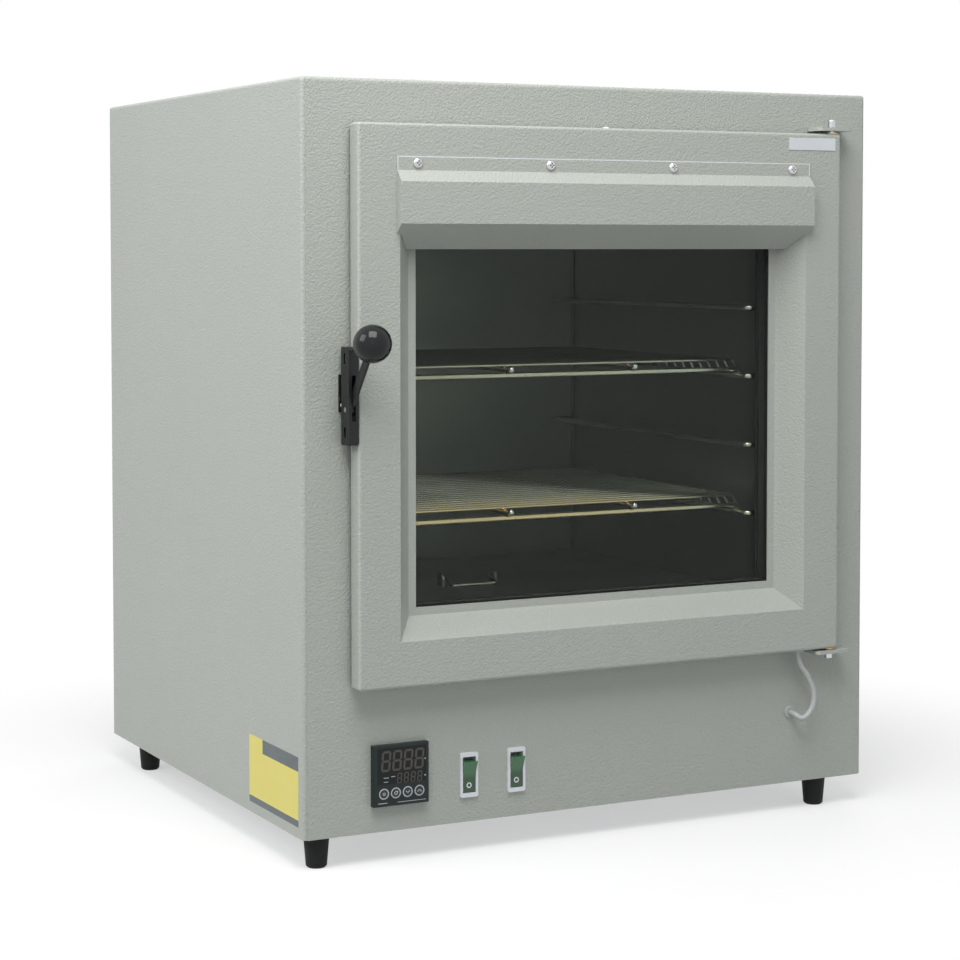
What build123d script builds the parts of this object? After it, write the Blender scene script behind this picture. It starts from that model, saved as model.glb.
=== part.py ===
"""Laboratory drying oven: an insulated steel chamber behind a glazed, side-hung door.

Millimetres. +Z is up and the feet stand on Z = 0, the door faces -Y, and X runs from the
latch side (negative) to the hinge side (positive). Depths are counted from the front face
of the cabinet, which lies in the plane Y = face_y, and heights from the bench.
"""
from math import atan2, cos, degrees, hypot, radians, sin, tan
import os

from build123d import *

os.makedirs("parts", exist_ok=True)

# Casing
casing_width = 535.0
casing_depth = 475.0
casing_height = 600.0
foot_height = 25.0
sheet = 1.2
bend_radius = 3.0
flange_width = 15.0
edge_strip = 3.5
slip = 0.2

# Chamber
chamber_width = 380.0
chamber_height = 400.0
chamber_depth = 388.0
chamber_bottom = 163.0
chamber_flange = 12.0
steel = 1.0
insulation_front = 6.0
insulation_back = 41.0
partition_top = 117.2

# Floor plate over the heater, with its lifting bail
floor_rise = 24.0
floor_front = 30.0
floor_slot_depth = 12.0
floor_slot_inset = 17.0
bail_x = -21.5
bail_span = 44.0
bail_y = 205.0
bail_height = 7.0
bail_reach = 15.0
bail_rod = 3.0
lug_thickness = 2.0
lug_height = 12.0
lug_depth = 10.0

# Heating element
element_diameter = 8.0
element_half_span = 135.0
element_front = 60.0
element_rear_turn = 345.0
element_bend = 38.0
terminal_diameter = 12.0
terminal_length = 14.0

# Shelf supports and wire shelves
rod = 5.0
support_run_x = 163.0
support_front = 30.0
support_rear = 378.0
support_bend = 6.0
support_lowest = 259.5
support_pitch = 60.0
support_levels = 4
shelf_front = 50.0
shelf_rear = 353.0
shelf_half_width = 174.0
shelf_crank_start = 166.0
shelf_side_drop = 0.5
shelf_bend = 4.0
runner_x = 60.0
runner_overhang = 4.0
wire = 2.5
wire_pitch = 15.0
wire_flat_half = 168.0
weld_sink = 0.4
running_gap = 0.3

# Vent, supply gland and temperature probe
vent_bore = 28.0
vent_wall = 1.0
vent_height = 520.0
rear_reach = 12.0
gland_bore = 9.0
gland_x = -200.0
gland_height = 70.0
gland_hex = 22.0
probe_diameter = 6.0
probe_x = -120.0
probe_height = 500.0
probe_reach = 60.0

# Door
door_width = 456.0
door_height = 446.5
door_bottom = 143.0
door_tray_depth = 15.0
door_gap = 4.0
door_bend = 2.5
plug_width = 368.0
plug_height = 388.0
plug_bottom = 169.0
plug_depth = 24.0
wool_margin = 8.0

# Window recess and its panes
recess_width = 384.0
recess_height = 372.5
recess_bottom = 179.5
recess_bevel = 17.0
recess_depth = 21.5
lip_width = 6.5
pane_inset = 1.0
pane_thickness = 4.0
pane_spacing = 8.3

# Door gasket
gasket_half_width = 206.0
gasket_bottom = 148.0
gasket_top = 579.0
gasket_band = 10.0
gasket_clearance = 0.3

# Lamp visor over the top of the window
visor_width = 390.0
visor_top = 563.5
visor_flange_height = 11.0
visor_slope_height = 9.0
visor_face_height = 33.0
visor_bottom = 490.4
visor_projection = 9.0
visor_lower_depth = 22.5
visor_screw_inner = 58.0
visor_screw_outer = 177.0
visor_screw_height = 558.0
screw_shank = 4.0
screw_head = 7.3
screw_head_height = 2.4

# Lamp behind the visor
lamp_diameter = 16.0
lamp_length = 304.0
lamp_height = 526.0
lamp_depth = -8.0
holder_thickness = 14.0

# Hinge
hinge_x = 223.0
hinge_depth = -12.0
hinge_pin = 5.0
hinge_plate = 3.0
hinge_plate_left = 206.0
hinge_plate_right = 240.0
hinge_plate_gap = 2.5
hinge_plate_lower_gap = 1.5
hinge_plate_overhang = 8.0
hinge_leg = 20.0
hinge_engagement = 12.0
hinge_head = 6.5
hinge_head_height = 7.0
hinge_lower_head = 4.5
bush_diameter = 7.0
bush_flange = 10.0
pin_clearance = 0.05

# Latch on the free edge of the door
latch_width = 8.5
latch_height = 77.0
latch_bottom = 337.0
latch_wall = 1.5
latch_proud = 0.5
latch_pivot_depth = -12.0
latch_pivot_height = 365.0
latch_pin = 4.0
lever_thickness = 2.5
lever_width = 7.5
lever_hub = 11.0
knob_reach = 55.0
knob_height = 418.0
knob_diameter = 30.0
knob_stud = 5.0
knob_flat = 14.2
nose_back = 7.2
nose_rise = 13.0
nose_width = 4.5
lever_slot_bottom = 356.0
lever_slot_top = 392.0
lever_slot_width = 3.4
latch_screw_lower = 347.0
latch_screw_upper = 405.0
access_width = 4.5
access_length = 9.0

# Keeper on the cabinet
keeper_left = -237.0
keeper_width = 11.0
keeper_bottom = 362.5
keeper_height = 29.5
keeper_thickness = 1.5
keeper_lip_bottom = 371.0
keeper_lip_height = 3.5
keeper_lip_reach = 3.4

# Controller
controller_x = -185.5
controller_height = 71.0
controller_width = 48.5
controller_tall = 49.0
controller_proud = 6.5
controller_body = 44.5
controller_body_depth = 80.0
key_pitch = 10.4
key_height = 56.9
key_diameter = 6.4
key_gap = 0.2
key_length = 4.0
key_proud = 0.3
key_travel = 0.5
window_width = 43.0
window_pane_height = 29.0
window_centre_height = 79.0
window_thickness = 1.5

# Rocker switches
switch_x_left = -122.7
switch_x_right = -79.2
switch_height = 63.6
bezel_width = 16.0
bezel_tall = 36.5
bezel_proud = 2.0
switch_body_width = 14.0
switch_body_tall = 32.0
switch_body_depth = 20.0
rocker_width = 11.3
rocker_half = 13.2
rocker_pivot_depth = 3.5
rocker_valley = 4.5
rocker_crest = 7.5
rocker_root_half = 11.0
rocker_root = 3.0
rocker_tilt = 11.0
rocker_gap = 0.3
rocker_well_depth = 10.0
rocker_axle = 2.5
rocker_axle_reach = 0.8

# Lamp cable from the cabinet to the door
cable_diameter = 5.0
cable_exit_x = 190.5
cable_exit_height = 87.0
cable_door_x = 191.5
cable_door_depth = -10.5
grommet_flange = 11.0
grommet_proud = 1.8

# Feet
foot_top = 20.6
foot_bottom = 17.0
foot_left = -251.0
foot_right = 226.0
foot_front = 14.0
foot_rear = 414.0

# Planes and levels that follow from the sizes above
face_y = (knob_reach + knob_diameter / 2 - casing_depth - rear_reach) / 2
casing_bottom = foot_height
casing_top = foot_height + casing_height
casing_mid = foot_height + casing_height / 2
inner_half = casing_width / 2 - sheet - slip
chamber_top = chamber_bottom + chamber_height
chamber_mid = chamber_bottom + chamber_height / 2
door_rear = -door_gap
door_face = -door_gap - door_tray_depth
door_mid = door_bottom + door_height / 2
door_top = door_bottom + door_height
recess_mid = recess_bottom + recess_height / 2
recess_back = door_face + recess_depth
pane_front = recess_back + sheet
pane_width = recess_width - 2 * recess_bevel - 2 * pane_inset
pane_height = recess_height - 2 * recess_bevel - 2 * pane_inset
inner_pane_front = pane_front + pane_thickness + pane_spacing
opening_width = recess_width - 2 * recess_bevel - 2 * lip_width
opening_height = recess_height - 2 * recess_bevel - 2 * lip_width
floor_top = chamber_bottom + floor_rise
latch_left = -door_width / 2 - latch_width
latch_front = door_face - latch_proud
latch_rear = door_rear - latch_proud
latch_centre_x = latch_left + latch_width / 2


def facing(depth):
    """The plane parallel to the front at a depth behind it; its sketches see the front."""
    return Plane.XZ.offset(-face_y - depth)


def block(x_span, depth_span, z_span, mode=Mode.ADD):
    """A block between two corners, its depths counted from the cabinet's front face."""
    centre = (sum(x_span) / 2, face_y + sum(depth_span) / 2, sum(z_span) / 2)
    with Locations(centre):
        Box(x_span[1] - x_span[0], depth_span[1] - depth_span[0], z_span[1] - z_span[0],
            mode=mode)


def drill(x, depth_span, height, diameter, mode=Mode.SUBTRACT):
    """A round hole, or pin, along the depth of the oven."""
    centre = (x, face_y + sum(depth_span) / 2, height)
    with Locations(Location(centre, (90, 0, 0))):
        Cylinder(diameter / 2, depth_span[1] - depth_span[0], mode=mode)


def point(x, depth, height):
    """A point given by its depth behind the cabinet's front face."""
    return Vector(x, face_y + depth, height)


# Casing: one wrap of sheet over the left side, the top and the right side
with BuildPart() as outer_casing:
    with BuildSketch(Plane.XY.offset(casing_bottom)):
        with Locations((0, face_y + casing_depth / 2)):
            Rectangle(casing_width, casing_depth - 2 * sheet)
    extrude(amount=casing_height)
    bent_edges = outer_casing.edges().filter_by(Axis.Z)
    bent_edges += outer_casing.faces().sort_by(Axis.Z)[-1].edges()
    fillet(bent_edges, bend_radius)
    offset(amount=-sheet, openings=outer_casing.faces().sort_by(Axis.Z)[0])
    clear_half = casing_width / 2 - flange_width
    block((-clear_half, clear_half), (-1, casing_depth + 1),
          (casing_bottom - 1, casing_top - flange_width), Mode.SUBTRACT)
outer_casing.part.label = "outer_casing"
export_step(outer_casing.part, "parts/outer_casing.step")

# Front panel, with its openings for the chamber, the controls, the hinges and the cable
upper_plate_bottom = door_top + hinge_plate_gap
upper_plate_top = upper_plate_bottom + hinge_plate
lower_plate_top = door_bottom - hinge_plate_lower_gap
lower_plate_bottom = lower_plate_top - hinge_plate
grommet_neck = cable_diameter + 3.0
keeper_screw_x = keeper_left + 3.0
keeper_screw_height = keeper_bottom + 5.5
keeper_screw_hole = 3.2
with BuildPart() as front_panel:
    with BuildSketch(facing(sheet)):
        with Locations((0, casing_mid - edge_strip / 2)):
            Rectangle(casing_width - 2 * edge_strip, casing_height - edge_strip)
        with Locations((0, chamber_mid)):
            Rectangle(chamber_width, chamber_height, mode=Mode.SUBTRACT)
        with Locations((controller_x, controller_height)):
            Rectangle(controller_body + 2 * slip, controller_body + 2 * slip,
                      mode=Mode.SUBTRACT)
        with Locations((switch_x_left, switch_height), (switch_x_right, switch_height)):
            Rectangle(switch_body_width + 2 * slip, switch_body_tall + 2 * slip,
                      mode=Mode.SUBTRACT)
        with Locations((cable_exit_x, cable_exit_height)):
            Circle(grommet_neck / 2, mode=Mode.SUBTRACT)
        with Locations((keeper_screw_x, keeper_screw_height)):
            Circle(keeper_screw_hole / 2, mode=Mode.SUBTRACT)
        hinge_slot_x = (hinge_plate_left + hinge_plate_right) / 2
        with Locations((hinge_slot_x, (upper_plate_bottom + upper_plate_top) / 2),
                       (hinge_slot_x, (lower_plate_bottom + lower_plate_top) / 2)):
            Rectangle(hinge_plate_right - hinge_plate_left + 2 * slip, hinge_plate + 2 * slip,
                      mode=Mode.SUBTRACT)
    extrude(amount=sheet)
front_panel.part.label = "front_panel"
export_step(front_panel.part, "parts/front_panel.step")

# Rear panel: screwed over the casing's rear flanges, with two rows of air slots
rear_panel_margin = 4.0
rear_screw_margin = 8.0
slot_length = 36.0
slot_width = 4.0
slot_pitch = 12.0
slot_rows = 5
slot_columns = 4
slot_column_pitch = 80.0
with BuildPart() as rear_panel:
    with BuildSketch(facing(casing_depth)):
        with Locations((0, casing_mid)):
            Rectangle(casing_width - 2 * rear_panel_margin, casing_height - 2 * rear_panel_margin)
        with Locations((0, vent_height)):
            Circle(vent_bore / 2 + vent_wall, mode=Mode.SUBTRACT)
        with Locations((gland_x, gland_height)):
            Circle(gland_bore / 2 + 2.5, mode=Mode.SUBTRACT)
        with Locations((0, gland_height)):
            with GridLocations(slot_column_pitch, slot_pitch, slot_columns, slot_rows):
                SlotOverall(slot_length, slot_width, mode=Mode.SUBTRACT)
    extrude(amount=sheet)
rear_panel.part.label = "rear_panel"
export_step(rear_panel.part, "parts/rear_panel.step")

# Rear panel screws: pan heads down both sides and along the top
side_screw_x = casing_width / 2 - rear_screw_margin
side_screw_pitch = (casing_height - 2 * rear_screw_margin) / 4
rear_screw_places = []
for row in range(5):
    screw_z = casing_bottom + rear_screw_margin + row * side_screw_pitch
    rear_screw_places += [(-side_screw_x, screw_z), (side_screw_x, screw_z)]
rear_screw_places += [(0, casing_top - rear_screw_margin)]
with BuildPart() as rear_panel_screws:
    with BuildSketch(facing(casing_depth)):
        with Locations(*rear_screw_places):
            Circle(screw_head / 2)
    extrude(amount=-screw_head_height, taper=12)
rear_panel_screws.part.label = "rear_panel_screws"
export_step(rear_panel_screws.part, "parts/rear_panel_screws.step")

# Base pan: a shallow tray with air slots that closes the casing from below
pan_front = 2 * sheet + slip
pan_rear = casing_depth - 2 * sheet - slip
with BuildPart() as base_pan:
    block((-inner_half, inner_half), (pan_front, pan_rear),
          (casing_bottom, casing_bottom + flange_width))
    fillet(base_pan.edges().filter_by(Axis.Z), bend_radius)
    offset(amount=-sheet, openings=base_pan.faces().sort_by(Axis.Z)[-1])
    with BuildSketch(Plane.XY.offset(casing_bottom)):
        with Locations((0, face_y + casing_depth / 2)):
            with GridLocations(slot_column_pitch, 4 * slot_pitch, slot_columns, slot_rows):
                SlotOverall(slot_length, slot_width)
    extrude(amount=sheet, mode=Mode.SUBTRACT)
base_pan.part.label = "base_pan"
export_step(base_pan.part, "parts/base_pan.step")

# Partition between the controls below and the insulated body above
with BuildPart() as partition_plate:
    block((-inner_half, inner_half), (pan_front, pan_rear),
          (partition_top - flange_width, partition_top))
    fillet(partition_plate.edges().filter_by(Axis.Z), bend_radius)
    offset(amount=-sheet, openings=partition_plate.faces().sort_by(Axis.Z)[0])
partition_plate.part.label = "partition_plate"
export_step(partition_plate.part, "parts/partition_plate.step")

# Feet: tapered rubber, each with a recess for its screw
foot_chamfer = 1.5
foot_recess = 8.0
foot_recess_depth = 12.0
foot_places = {
    "foot_front_left": (foot_left, foot_front),
    "foot_front_right": (foot_right, foot_front),
    "foot_rear_left": (foot_left, foot_rear),
    "foot_rear_right": (foot_right, foot_rear),
}
for foot_name, (foot_x, foot_depth) in foot_places.items():
    foot_centre = point(foot_x, foot_depth, 0)
    with BuildPart() as foot:
        with BuildSketch(Plane(foot_centre, x_dir=(1, 0, 0), z_dir=(0, -1, 0))):
            with BuildLine():
                Polyline((foot_recess / 2, 0), (foot_bottom / 2 - foot_chamfer, 0),
                         (foot_bottom / 2, foot_chamfer), (foot_top / 2, foot_height - 2),
                         (foot_top / 2, foot_height), (0, foot_height),
                         (0, foot_recess_depth), (foot_recess / 2, foot_recess_depth),
                         close=True)
            make_face()
        revolve(axis=Axis(foot_centre, (0, 0, 1)))
    foot.part.label = foot_name
    export_step(foot.part, f"parts/{foot_name}.step")

# Inner chamber: a stainless box, open to the front, with a flange behind the front panel
element_hole = element_diameter + 2 * running_gap
probe_hole = probe_diameter + slip
back_wall = (chamber_depth - 1, chamber_depth + steel + 1)
element_height = chamber_bottom + floor_rise / 2
with BuildPart() as inner_chamber:
    half_outer = chamber_width / 2 + steel
    block((-half_outer, half_outer), (sheet, chamber_depth + steel),
          (chamber_bottom - steel, chamber_top + steel))
    offset(amount=-steel, openings=inner_chamber.faces().sort_by(Axis.Y)[0])
    with BuildSketch(facing(sheet + steel)):
        with Locations((0, chamber_mid)):
            Rectangle(chamber_width + 2 * chamber_flange, chamber_height + 2 * chamber_flange)
            Rectangle(chamber_width, chamber_height, mode=Mode.SUBTRACT)
    extrude(amount=steel)
    drill(0, back_wall, vent_height, vent_bore + 2 * vent_wall)
    drill(probe_x, back_wall, probe_height, probe_hole)
    drill(-element_half_span, back_wall, element_height, element_hole)
    drill(element_half_span, back_wall, element_height, element_hole)
inner_chamber.part.label = "inner_chamber"
export_step(inner_chamber.part, "parts/inner_chamber.step")

# Chamber insulation: mineral wool on the five closed sides
wool_half = inner_half - 1.0
wool_top = casing_top - sheet - 2.0
wool_back = chamber_depth + steel + insulation_back
with BuildPart() as chamber_insulation:
    block((-wool_half, wool_half), (insulation_front, wool_back), (partition_top, wool_top))
    block((-half_outer, half_outer), (insulation_front - 1, chamber_depth + steel),
          (chamber_bottom - steel, chamber_top + steel), Mode.SUBTRACT)
    wool_span = (chamber_depth, wool_back + 1)
    drill(0, wool_span, vent_height, vent_bore + 2 * vent_wall)
    drill(probe_x, wool_span, probe_height, probe_hole)
    drill(-element_half_span, wool_span, element_height, element_hole)
    drill(element_half_span, wool_span, element_height, element_hole)
chamber_insulation.part.label = "chamber_insulation"
export_step(chamber_insulation.part, "parts/chamber_insulation.step")

# Floor plate: a bridge over the heater, with an air slot at the back and two lugs
floor_half = chamber_width / 2 - 1.0
floor_rear = chamber_depth - 0.5
bail_pivot_height = floor_top + bail_height
bail_pin_clearance = 0.1
lug_left = bail_x - bail_span / 2 - 1.5 * lug_thickness - bail_rod / 2
lug_right = bail_x + bail_span / 2 + 1.5 * lug_thickness + bail_rod / 2
with BuildPart() as floor_plate:
    block((-floor_half, floor_half), (floor_front, floor_rear), (chamber_bottom, floor_top))
    block((-floor_half + steel, floor_half - steel), (floor_front - 1, floor_rear + 1),
          (chamber_bottom - 1, floor_top - steel), Mode.SUBTRACT)
    slot_half = chamber_width / 2 - floor_slot_inset
    block((-slot_half, slot_half), (chamber_depth - floor_slot_depth, floor_rear + 1),
          (floor_top - 2 * steel, floor_top + 1), Mode.SUBTRACT)
    for lug_x in (lug_left, lug_right):
        with BuildSketch(Plane.YZ.offset(lug_x - lug_thickness / 2)):
            with Locations((face_y + bail_y, floor_top + (lug_height - lug_depth / 2) / 2)):
                Rectangle(lug_depth, lug_height - lug_depth / 2)
            with Locations((face_y + bail_y, floor_top + lug_height - lug_depth / 2)):
                Circle(lug_depth / 2)
            with Locations((face_y + bail_y, bail_pivot_height)):
                Circle(bail_rod / 2 + bail_pin_clearance, mode=Mode.SUBTRACT)
        extrude(amount=lug_thickness)
floor_plate.part.label = "floor_plate"
export_step(floor_plate.part, "parts/floor_plate.step")

# Floor bail: a wire handle that lies forward on the plate and swings up in its lugs
bail_rest_height = floor_top + bail_rod / 2 + running_gap
bail_end = bail_span / 2 + 2.5 * lug_thickness + bail_rod / 2
bail_path = [
    point(bail_x - bail_end, bail_y, bail_pivot_height),
    point(bail_x - bail_span / 2, bail_y, bail_pivot_height),
    point(bail_x - bail_span / 2, bail_y - bail_reach, bail_rest_height),
    point(bail_x + bail_span / 2, bail_y - bail_reach, bail_rest_height),
    point(bail_x + bail_span / 2, bail_y, bail_pivot_height),
    point(bail_x + bail_end, bail_y, bail_pivot_height),
]
with BuildPart() as floor_bail:
    with BuildLine() as bail_line:
        FilletPolyline(*bail_path, radius=bail_rod / 2 + 0.5)
    with BuildSketch(Plane(bail_path[0], z_dir=(1, 0, 0))):
        Circle(bail_rod / 2)
    sweep(path=bail_line.wire())
floor_bail.part.label = "floor_bail"
export_step(floor_bail.part, "parts/floor_bail.step")

# Heating element: one tubular loop under the floor plate, its ends through the back wall
element_inner = element_half_span / 3
element_end = wool_back + 4.0
element_path = [
    point(-element_half_span, element_end, element_height),
    point(-element_half_span, element_front, element_height),
    point(-element_inner, element_front, element_height),
    point(-element_inner, element_rear_turn, element_height),
    point(element_inner, element_rear_turn, element_height),
    point(element_inner, element_front, element_height),
    point(element_half_span, element_front, element_height),
    point(element_half_span, element_end, element_height),
]
with BuildPart() as heating_element:
    with BuildLine() as element_line:
        FilletPolyline(*element_path, radius=element_bend)
    with BuildSketch(Plane(element_path[0], z_dir=(0, -1, 0))):
        Circle(element_diameter / 2)
    sweep(path=element_line.wire())
    for end_x in (-element_half_span, element_half_span):
        drill(end_x, (element_end - 2, element_end + terminal_length), element_height,
              terminal_diameter, Mode.ADD)
        drill(end_x, (element_end, element_end + terminal_length + 6), element_height, 4,
              Mode.ADD)
heating_element.part.label = "heating_element"
export_step(heating_element.part, "parts/heating_element.step")

# Temperature probe: a closed tube through the back wall, with its head in the wiring space
probe_head = 12.0
with BuildPart() as temperature_probe:
    drill(probe_x, (chamber_depth - probe_reach, wool_back + 2), probe_height, probe_diameter,
          Mode.ADD)
    fillet(temperature_probe.edges().sort_by(Axis.Y)[0], probe_diameter / 2 - 0.2)
    drill(probe_x, (wool_back, wool_back + probe_head), probe_height, probe_head, Mode.ADD)
temperature_probe.part.label = "temperature_probe"
export_step(temperature_probe.part, "parts/temperature_probe.step")

# Vent tube: from the chamber's back wall out through the rear panel
with BuildPart() as vent_tube:
    drill(0, (chamber_depth, casing_depth + rear_reach), vent_height,
          vent_bore + 2 * vent_wall, Mode.ADD)
    drill(0, (chamber_depth - 1, casing_depth + rear_reach + 1), vent_height, vent_bore)
vent_tube.part.label = "vent_tube"
export_step(vent_tube.part, "parts/vent_tube.step")

# Supply gland in the rear panel: a hexagon, a domed cap and a threaded neck inside
gland_neck = gland_bore + 5.0
gland_nut_height = 4.0
with BuildPart() as cable_gland:
    with BuildSketch(facing(casing_depth)):
        with Locations((gland_x, gland_height)):
            RegularPolygon(gland_hex / 2, 6)
    extrude(amount=-gland_nut_height)
    drill(gland_x, (casing_depth, casing_depth + rear_reach), gland_height, gland_hex - 6,
          Mode.ADD)
    fillet(cable_gland.edges().sort_by(Axis.Y)[-1], 2.5)
    drill(gland_x, (casing_depth - 8, casing_depth), gland_height, gland_neck, Mode.ADD)
    drill(gland_x, (casing_depth - 9, casing_depth + rear_reach + 1), gland_height, gland_bore)
cable_gland.part.label = "cable_gland"
export_step(cable_gland.part, "parts/cable_gland.step")

# Heater relay: a module on its finned heat sink, standing on the base pan
relay_x = 60.0
relay_depth = 200.0
sink_length = 80.0
sink_width = 60.0
sink_height = 24.0
fin_count = 7
fin_thickness = 2.0
module_height = 22.0
pan_floor = casing_bottom + sheet
with BuildPart() as heater_relay:
    sink_span = (relay_depth - sink_length / 2, relay_depth + sink_length / 2)
    block((relay_x - sink_width / 2, relay_x + sink_width / 2), sink_span,
          (pan_floor + sink_height - 5, pan_floor + sink_height))
    fin_pitch = (sink_width - fin_thickness) / (fin_count - 1)
    for fin in range(fin_count):
        fin_x = relay_x - sink_width / 2 + fin * fin_pitch
        block((fin_x, fin_x + fin_thickness), sink_span, (pan_floor, pan_floor + sink_height))
    block((relay_x - 22, relay_x + 22), (relay_depth - 29, relay_depth + 29),
          (pan_floor + sink_height, pan_floor + sink_height + module_height))
heater_relay.part.label = "heater_relay"
export_step(heater_relay.part, "parts/heater_relay.step")

# Terminal block: a row of screw clamps near the supply gland
clamp_count = 6
clamp_pitch = 10.0
block_x = -200.0
block_depth = 380.0
with BuildPart() as terminal_block:
    row_half = clamp_count * clamp_pitch / 2
    block((block_x - row_half, block_x + row_half), (block_depth - 15, block_depth + 15),
          (pan_floor, pan_floor + 22))
    with BuildSketch(Plane.XY.offset(pan_floor + 22)):
        with Locations((block_x, face_y + block_depth)):
            with GridLocations(clamp_pitch, 16, clamp_count, 2):
                Circle(3)
    extrude(amount=-8, mode=Mode.SUBTRACT)
terminal_block.part.label = "terminal_block"
export_step(terminal_block.part, "parts/terminal_block.step")

# Shelf supports: on each side wall four rods, each bent back to the wall at both ends
for side_name, side in (("left", -1), ("right", 1)):
    with BuildPart() as shelf_supports:
        for level in range(support_levels):
            rod_height = support_lowest + level * support_pitch
            support_path = [
                point(side * chamber_width / 2, support_front, rod_height),
                point(side * support_run_x, support_front, rod_height),
                point(side * support_run_x, support_rear, rod_height),
                point(side * chamber_width / 2, support_rear, rod_height),
            ]
            with BuildLine() as support_line:
                FilletPolyline(*support_path, radius=support_bend)
            with BuildSketch(Plane(support_path[0], z_dir=(-side, 0, 0))) as rod_section:
                Circle(rod / 2)
            sweep(rod_section.sketch, path=support_line.wire())
    shelf_supports.part.label = f"shelf_supports_{side_name}"
    export_step(shelf_supports.part, f"parts/shelf_supports_{side_name}.step")

# Wire shelves: a cranked rim that straddles the supports, two runners and cross wires
shelf_places = {
    "shelf_upper": support_lowest + 2 * support_pitch,
    "shelf_lower": support_lowest,
}
for shelf_name, seat_height in shelf_places.items():
    rest = seat_height + rod + running_gap
    side_height = seat_height - shelf_side_drop
    runner_height = rest + rod - weld_sink
    wire_height = runner_height + (rod + wire) / 2 - weld_sink
    wire_foot = side_height + (rod + wire) / 2 - weld_sink
    half = shelf_half_width
    wire_rows = int((shelf_rear - shelf_front) / wire_pitch)
    first_wire = (shelf_front + shelf_rear - (wire_rows - 1) * wire_pitch) / 2
    with BuildPart() as shelf:
        for side in (-1, 1):
            rim_path = [
                point(0, shelf_front, rest),
                point(side * shelf_crank_start, shelf_front, rest),
                point(side * half, shelf_front, side_height),
                point(side * half, shelf_rear, side_height),
                point(side * shelf_crank_start, shelf_rear, rest),
                point(0, shelf_rear, rest),
            ]
            with BuildLine() as rim_line:
                FilletPolyline(*rim_path, radius=shelf_bend)
            with BuildSketch(Plane(rim_path[0], z_dir=(side, 0, 0))) as rim_section:
                Circle(rod / 2)
            sweep(rim_section.sketch, path=rim_line.wire())
        for runner in (-runner_x, runner_x):
            drill(runner, (shelf_front - runner_overhang, shelf_rear + runner_overhang),
                  runner_height, rod, Mode.ADD)
        for row in range(wire_rows):
            wire_depth = first_wire + row * wire_pitch
            wire_ends = [
                point(-half, wire_depth, wire_foot),
                point(-wire_flat_half, wire_depth, wire_height),
                point(wire_flat_half, wire_depth, wire_height),
                point(half, wire_depth, wire_foot),
            ]
            with BuildLine() as wire_line:
                Polyline(*wire_ends)
            slope = wire_ends[1] - wire_ends[0]
            with BuildSketch(Plane(wire_ends[0], z_dir=slope)) as wire_section:
                Circle(wire / 2)
            sweep(wire_section.sketch, path=wire_line.wire(), transition=Transition.RIGHT)
    shelf.part.label = shelf_name
    export_step(shelf.part, f"parts/{shelf_name}.step")

# Door skin: one pressed tray whose face is drawn in to a bevelled window recess
bevel_angle = degrees(atan2(recess_bevel, recess_depth))
wall_across = sheet / cos(radians(bevel_angle))
visor_screw_x = (-visor_screw_outer, -visor_screw_inner, visor_screw_inner, visor_screw_outer)
screw_hole = screw_shank + 2 * slip
with BuildPart() as door_outer_skin:
    block((-door_width / 2, door_width / 2), (door_face, door_rear), (door_bottom, door_top))
    door_bends = door_outer_skin.edges().filter_by(Axis.Y)
    door_bends += door_outer_skin.faces().sort_by(Axis.Y)[0].edges()
    fillet(door_bends, door_bend)
    offset(amount=-sheet, openings=door_outer_skin.faces().sort_by(Axis.Y)[-1])
    with BuildSketch(facing(door_face)):
        with Locations((0, recess_mid)):
            Rectangle(recess_width + 2 * wall_across, recess_height + 2 * wall_across)
    extrude(amount=-(recess_depth + sheet), taper=bevel_angle)
    with BuildSketch(facing(door_face)):
        with Locations((0, recess_mid)):
            Rectangle(recess_width, recess_height)
    extrude(amount=-recess_depth, taper=bevel_angle, mode=Mode.SUBTRACT)
    with BuildSketch(facing(pane_front)):
        with Locations((0, recess_mid)):
            Rectangle(opening_width, opening_height)
    extrude(amount=2 * sheet, mode=Mode.SUBTRACT)
    for screw_x in visor_screw_x:
        drill(screw_x, (door_face - 1, door_face + 2 * sheet), visor_screw_height, screw_hole)
    with BuildSketch(Plane.XY.offset(door_bottom - 1)):
        with Locations((cable_door_x, face_y + cable_door_depth)):
            Circle(grommet_neck / 2)
    extrude(amount=2 * sheet, mode=Mode.SUBTRACT)
    with BuildSketch(Plane.XY.offset(door_bottom - 1)):
        with Locations((hinge_x, face_y + hinge_depth)):
            Circle(bush_diameter / 2)
    extrude(amount=door_height + 2, mode=Mode.SUBTRACT)
    latch_screw_hole = 3.4
    with BuildSketch(Plane.YZ.offset(-door_width / 2 - 1)):
        with Locations((face_y + latch_pivot_depth, latch_screw_lower),
                       (face_y + latch_pivot_depth, latch_screw_upper)):
            Circle(latch_screw_hole / 2)
    extrude(amount=2 * sheet, mode=Mode.SUBTRACT)
door_outer_skin.part.label = "door_outer_skin"
export_step(door_outer_skin.part, "parts/door_outer_skin.step")

# Door inner panel: a flange inside the tray and a plug that stands into the chamber
tray_inset = sheet + slip
plug_mid = plug_bottom + plug_height / 2
with BuildPart() as door_inner_panel:
    block((-plug_width / 2, plug_width / 2), (door_rear - sheet, plug_depth),
          (plug_bottom, plug_bottom + plug_height))
    fillet(door_inner_panel.edges().filter_by(Axis.Y), door_bend)
    offset(amount=-sheet, openings=door_inner_panel.faces().sort_by(Axis.Y)[0])
    with BuildSketch(facing(door_rear)):
        with Locations((0, door_mid)):
            RectangleRounded(door_width - 2 * tray_inset, door_height - 2 * tray_inset,
                             door_bend)
        with Locations((0, plug_mid)):
            Rectangle(plug_width - 2 * sheet, plug_height - 2 * sheet, mode=Mode.SUBTRACT)
    extrude(amount=sheet)
    with BuildSketch(facing(plug_depth + sheet)):
        with Locations((0, recess_mid)):
            Rectangle(opening_width, opening_height)
    extrude(amount=3 * sheet, mode=Mode.SUBTRACT)
door_inner_panel.part.label = "door_inner_panel"
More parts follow.
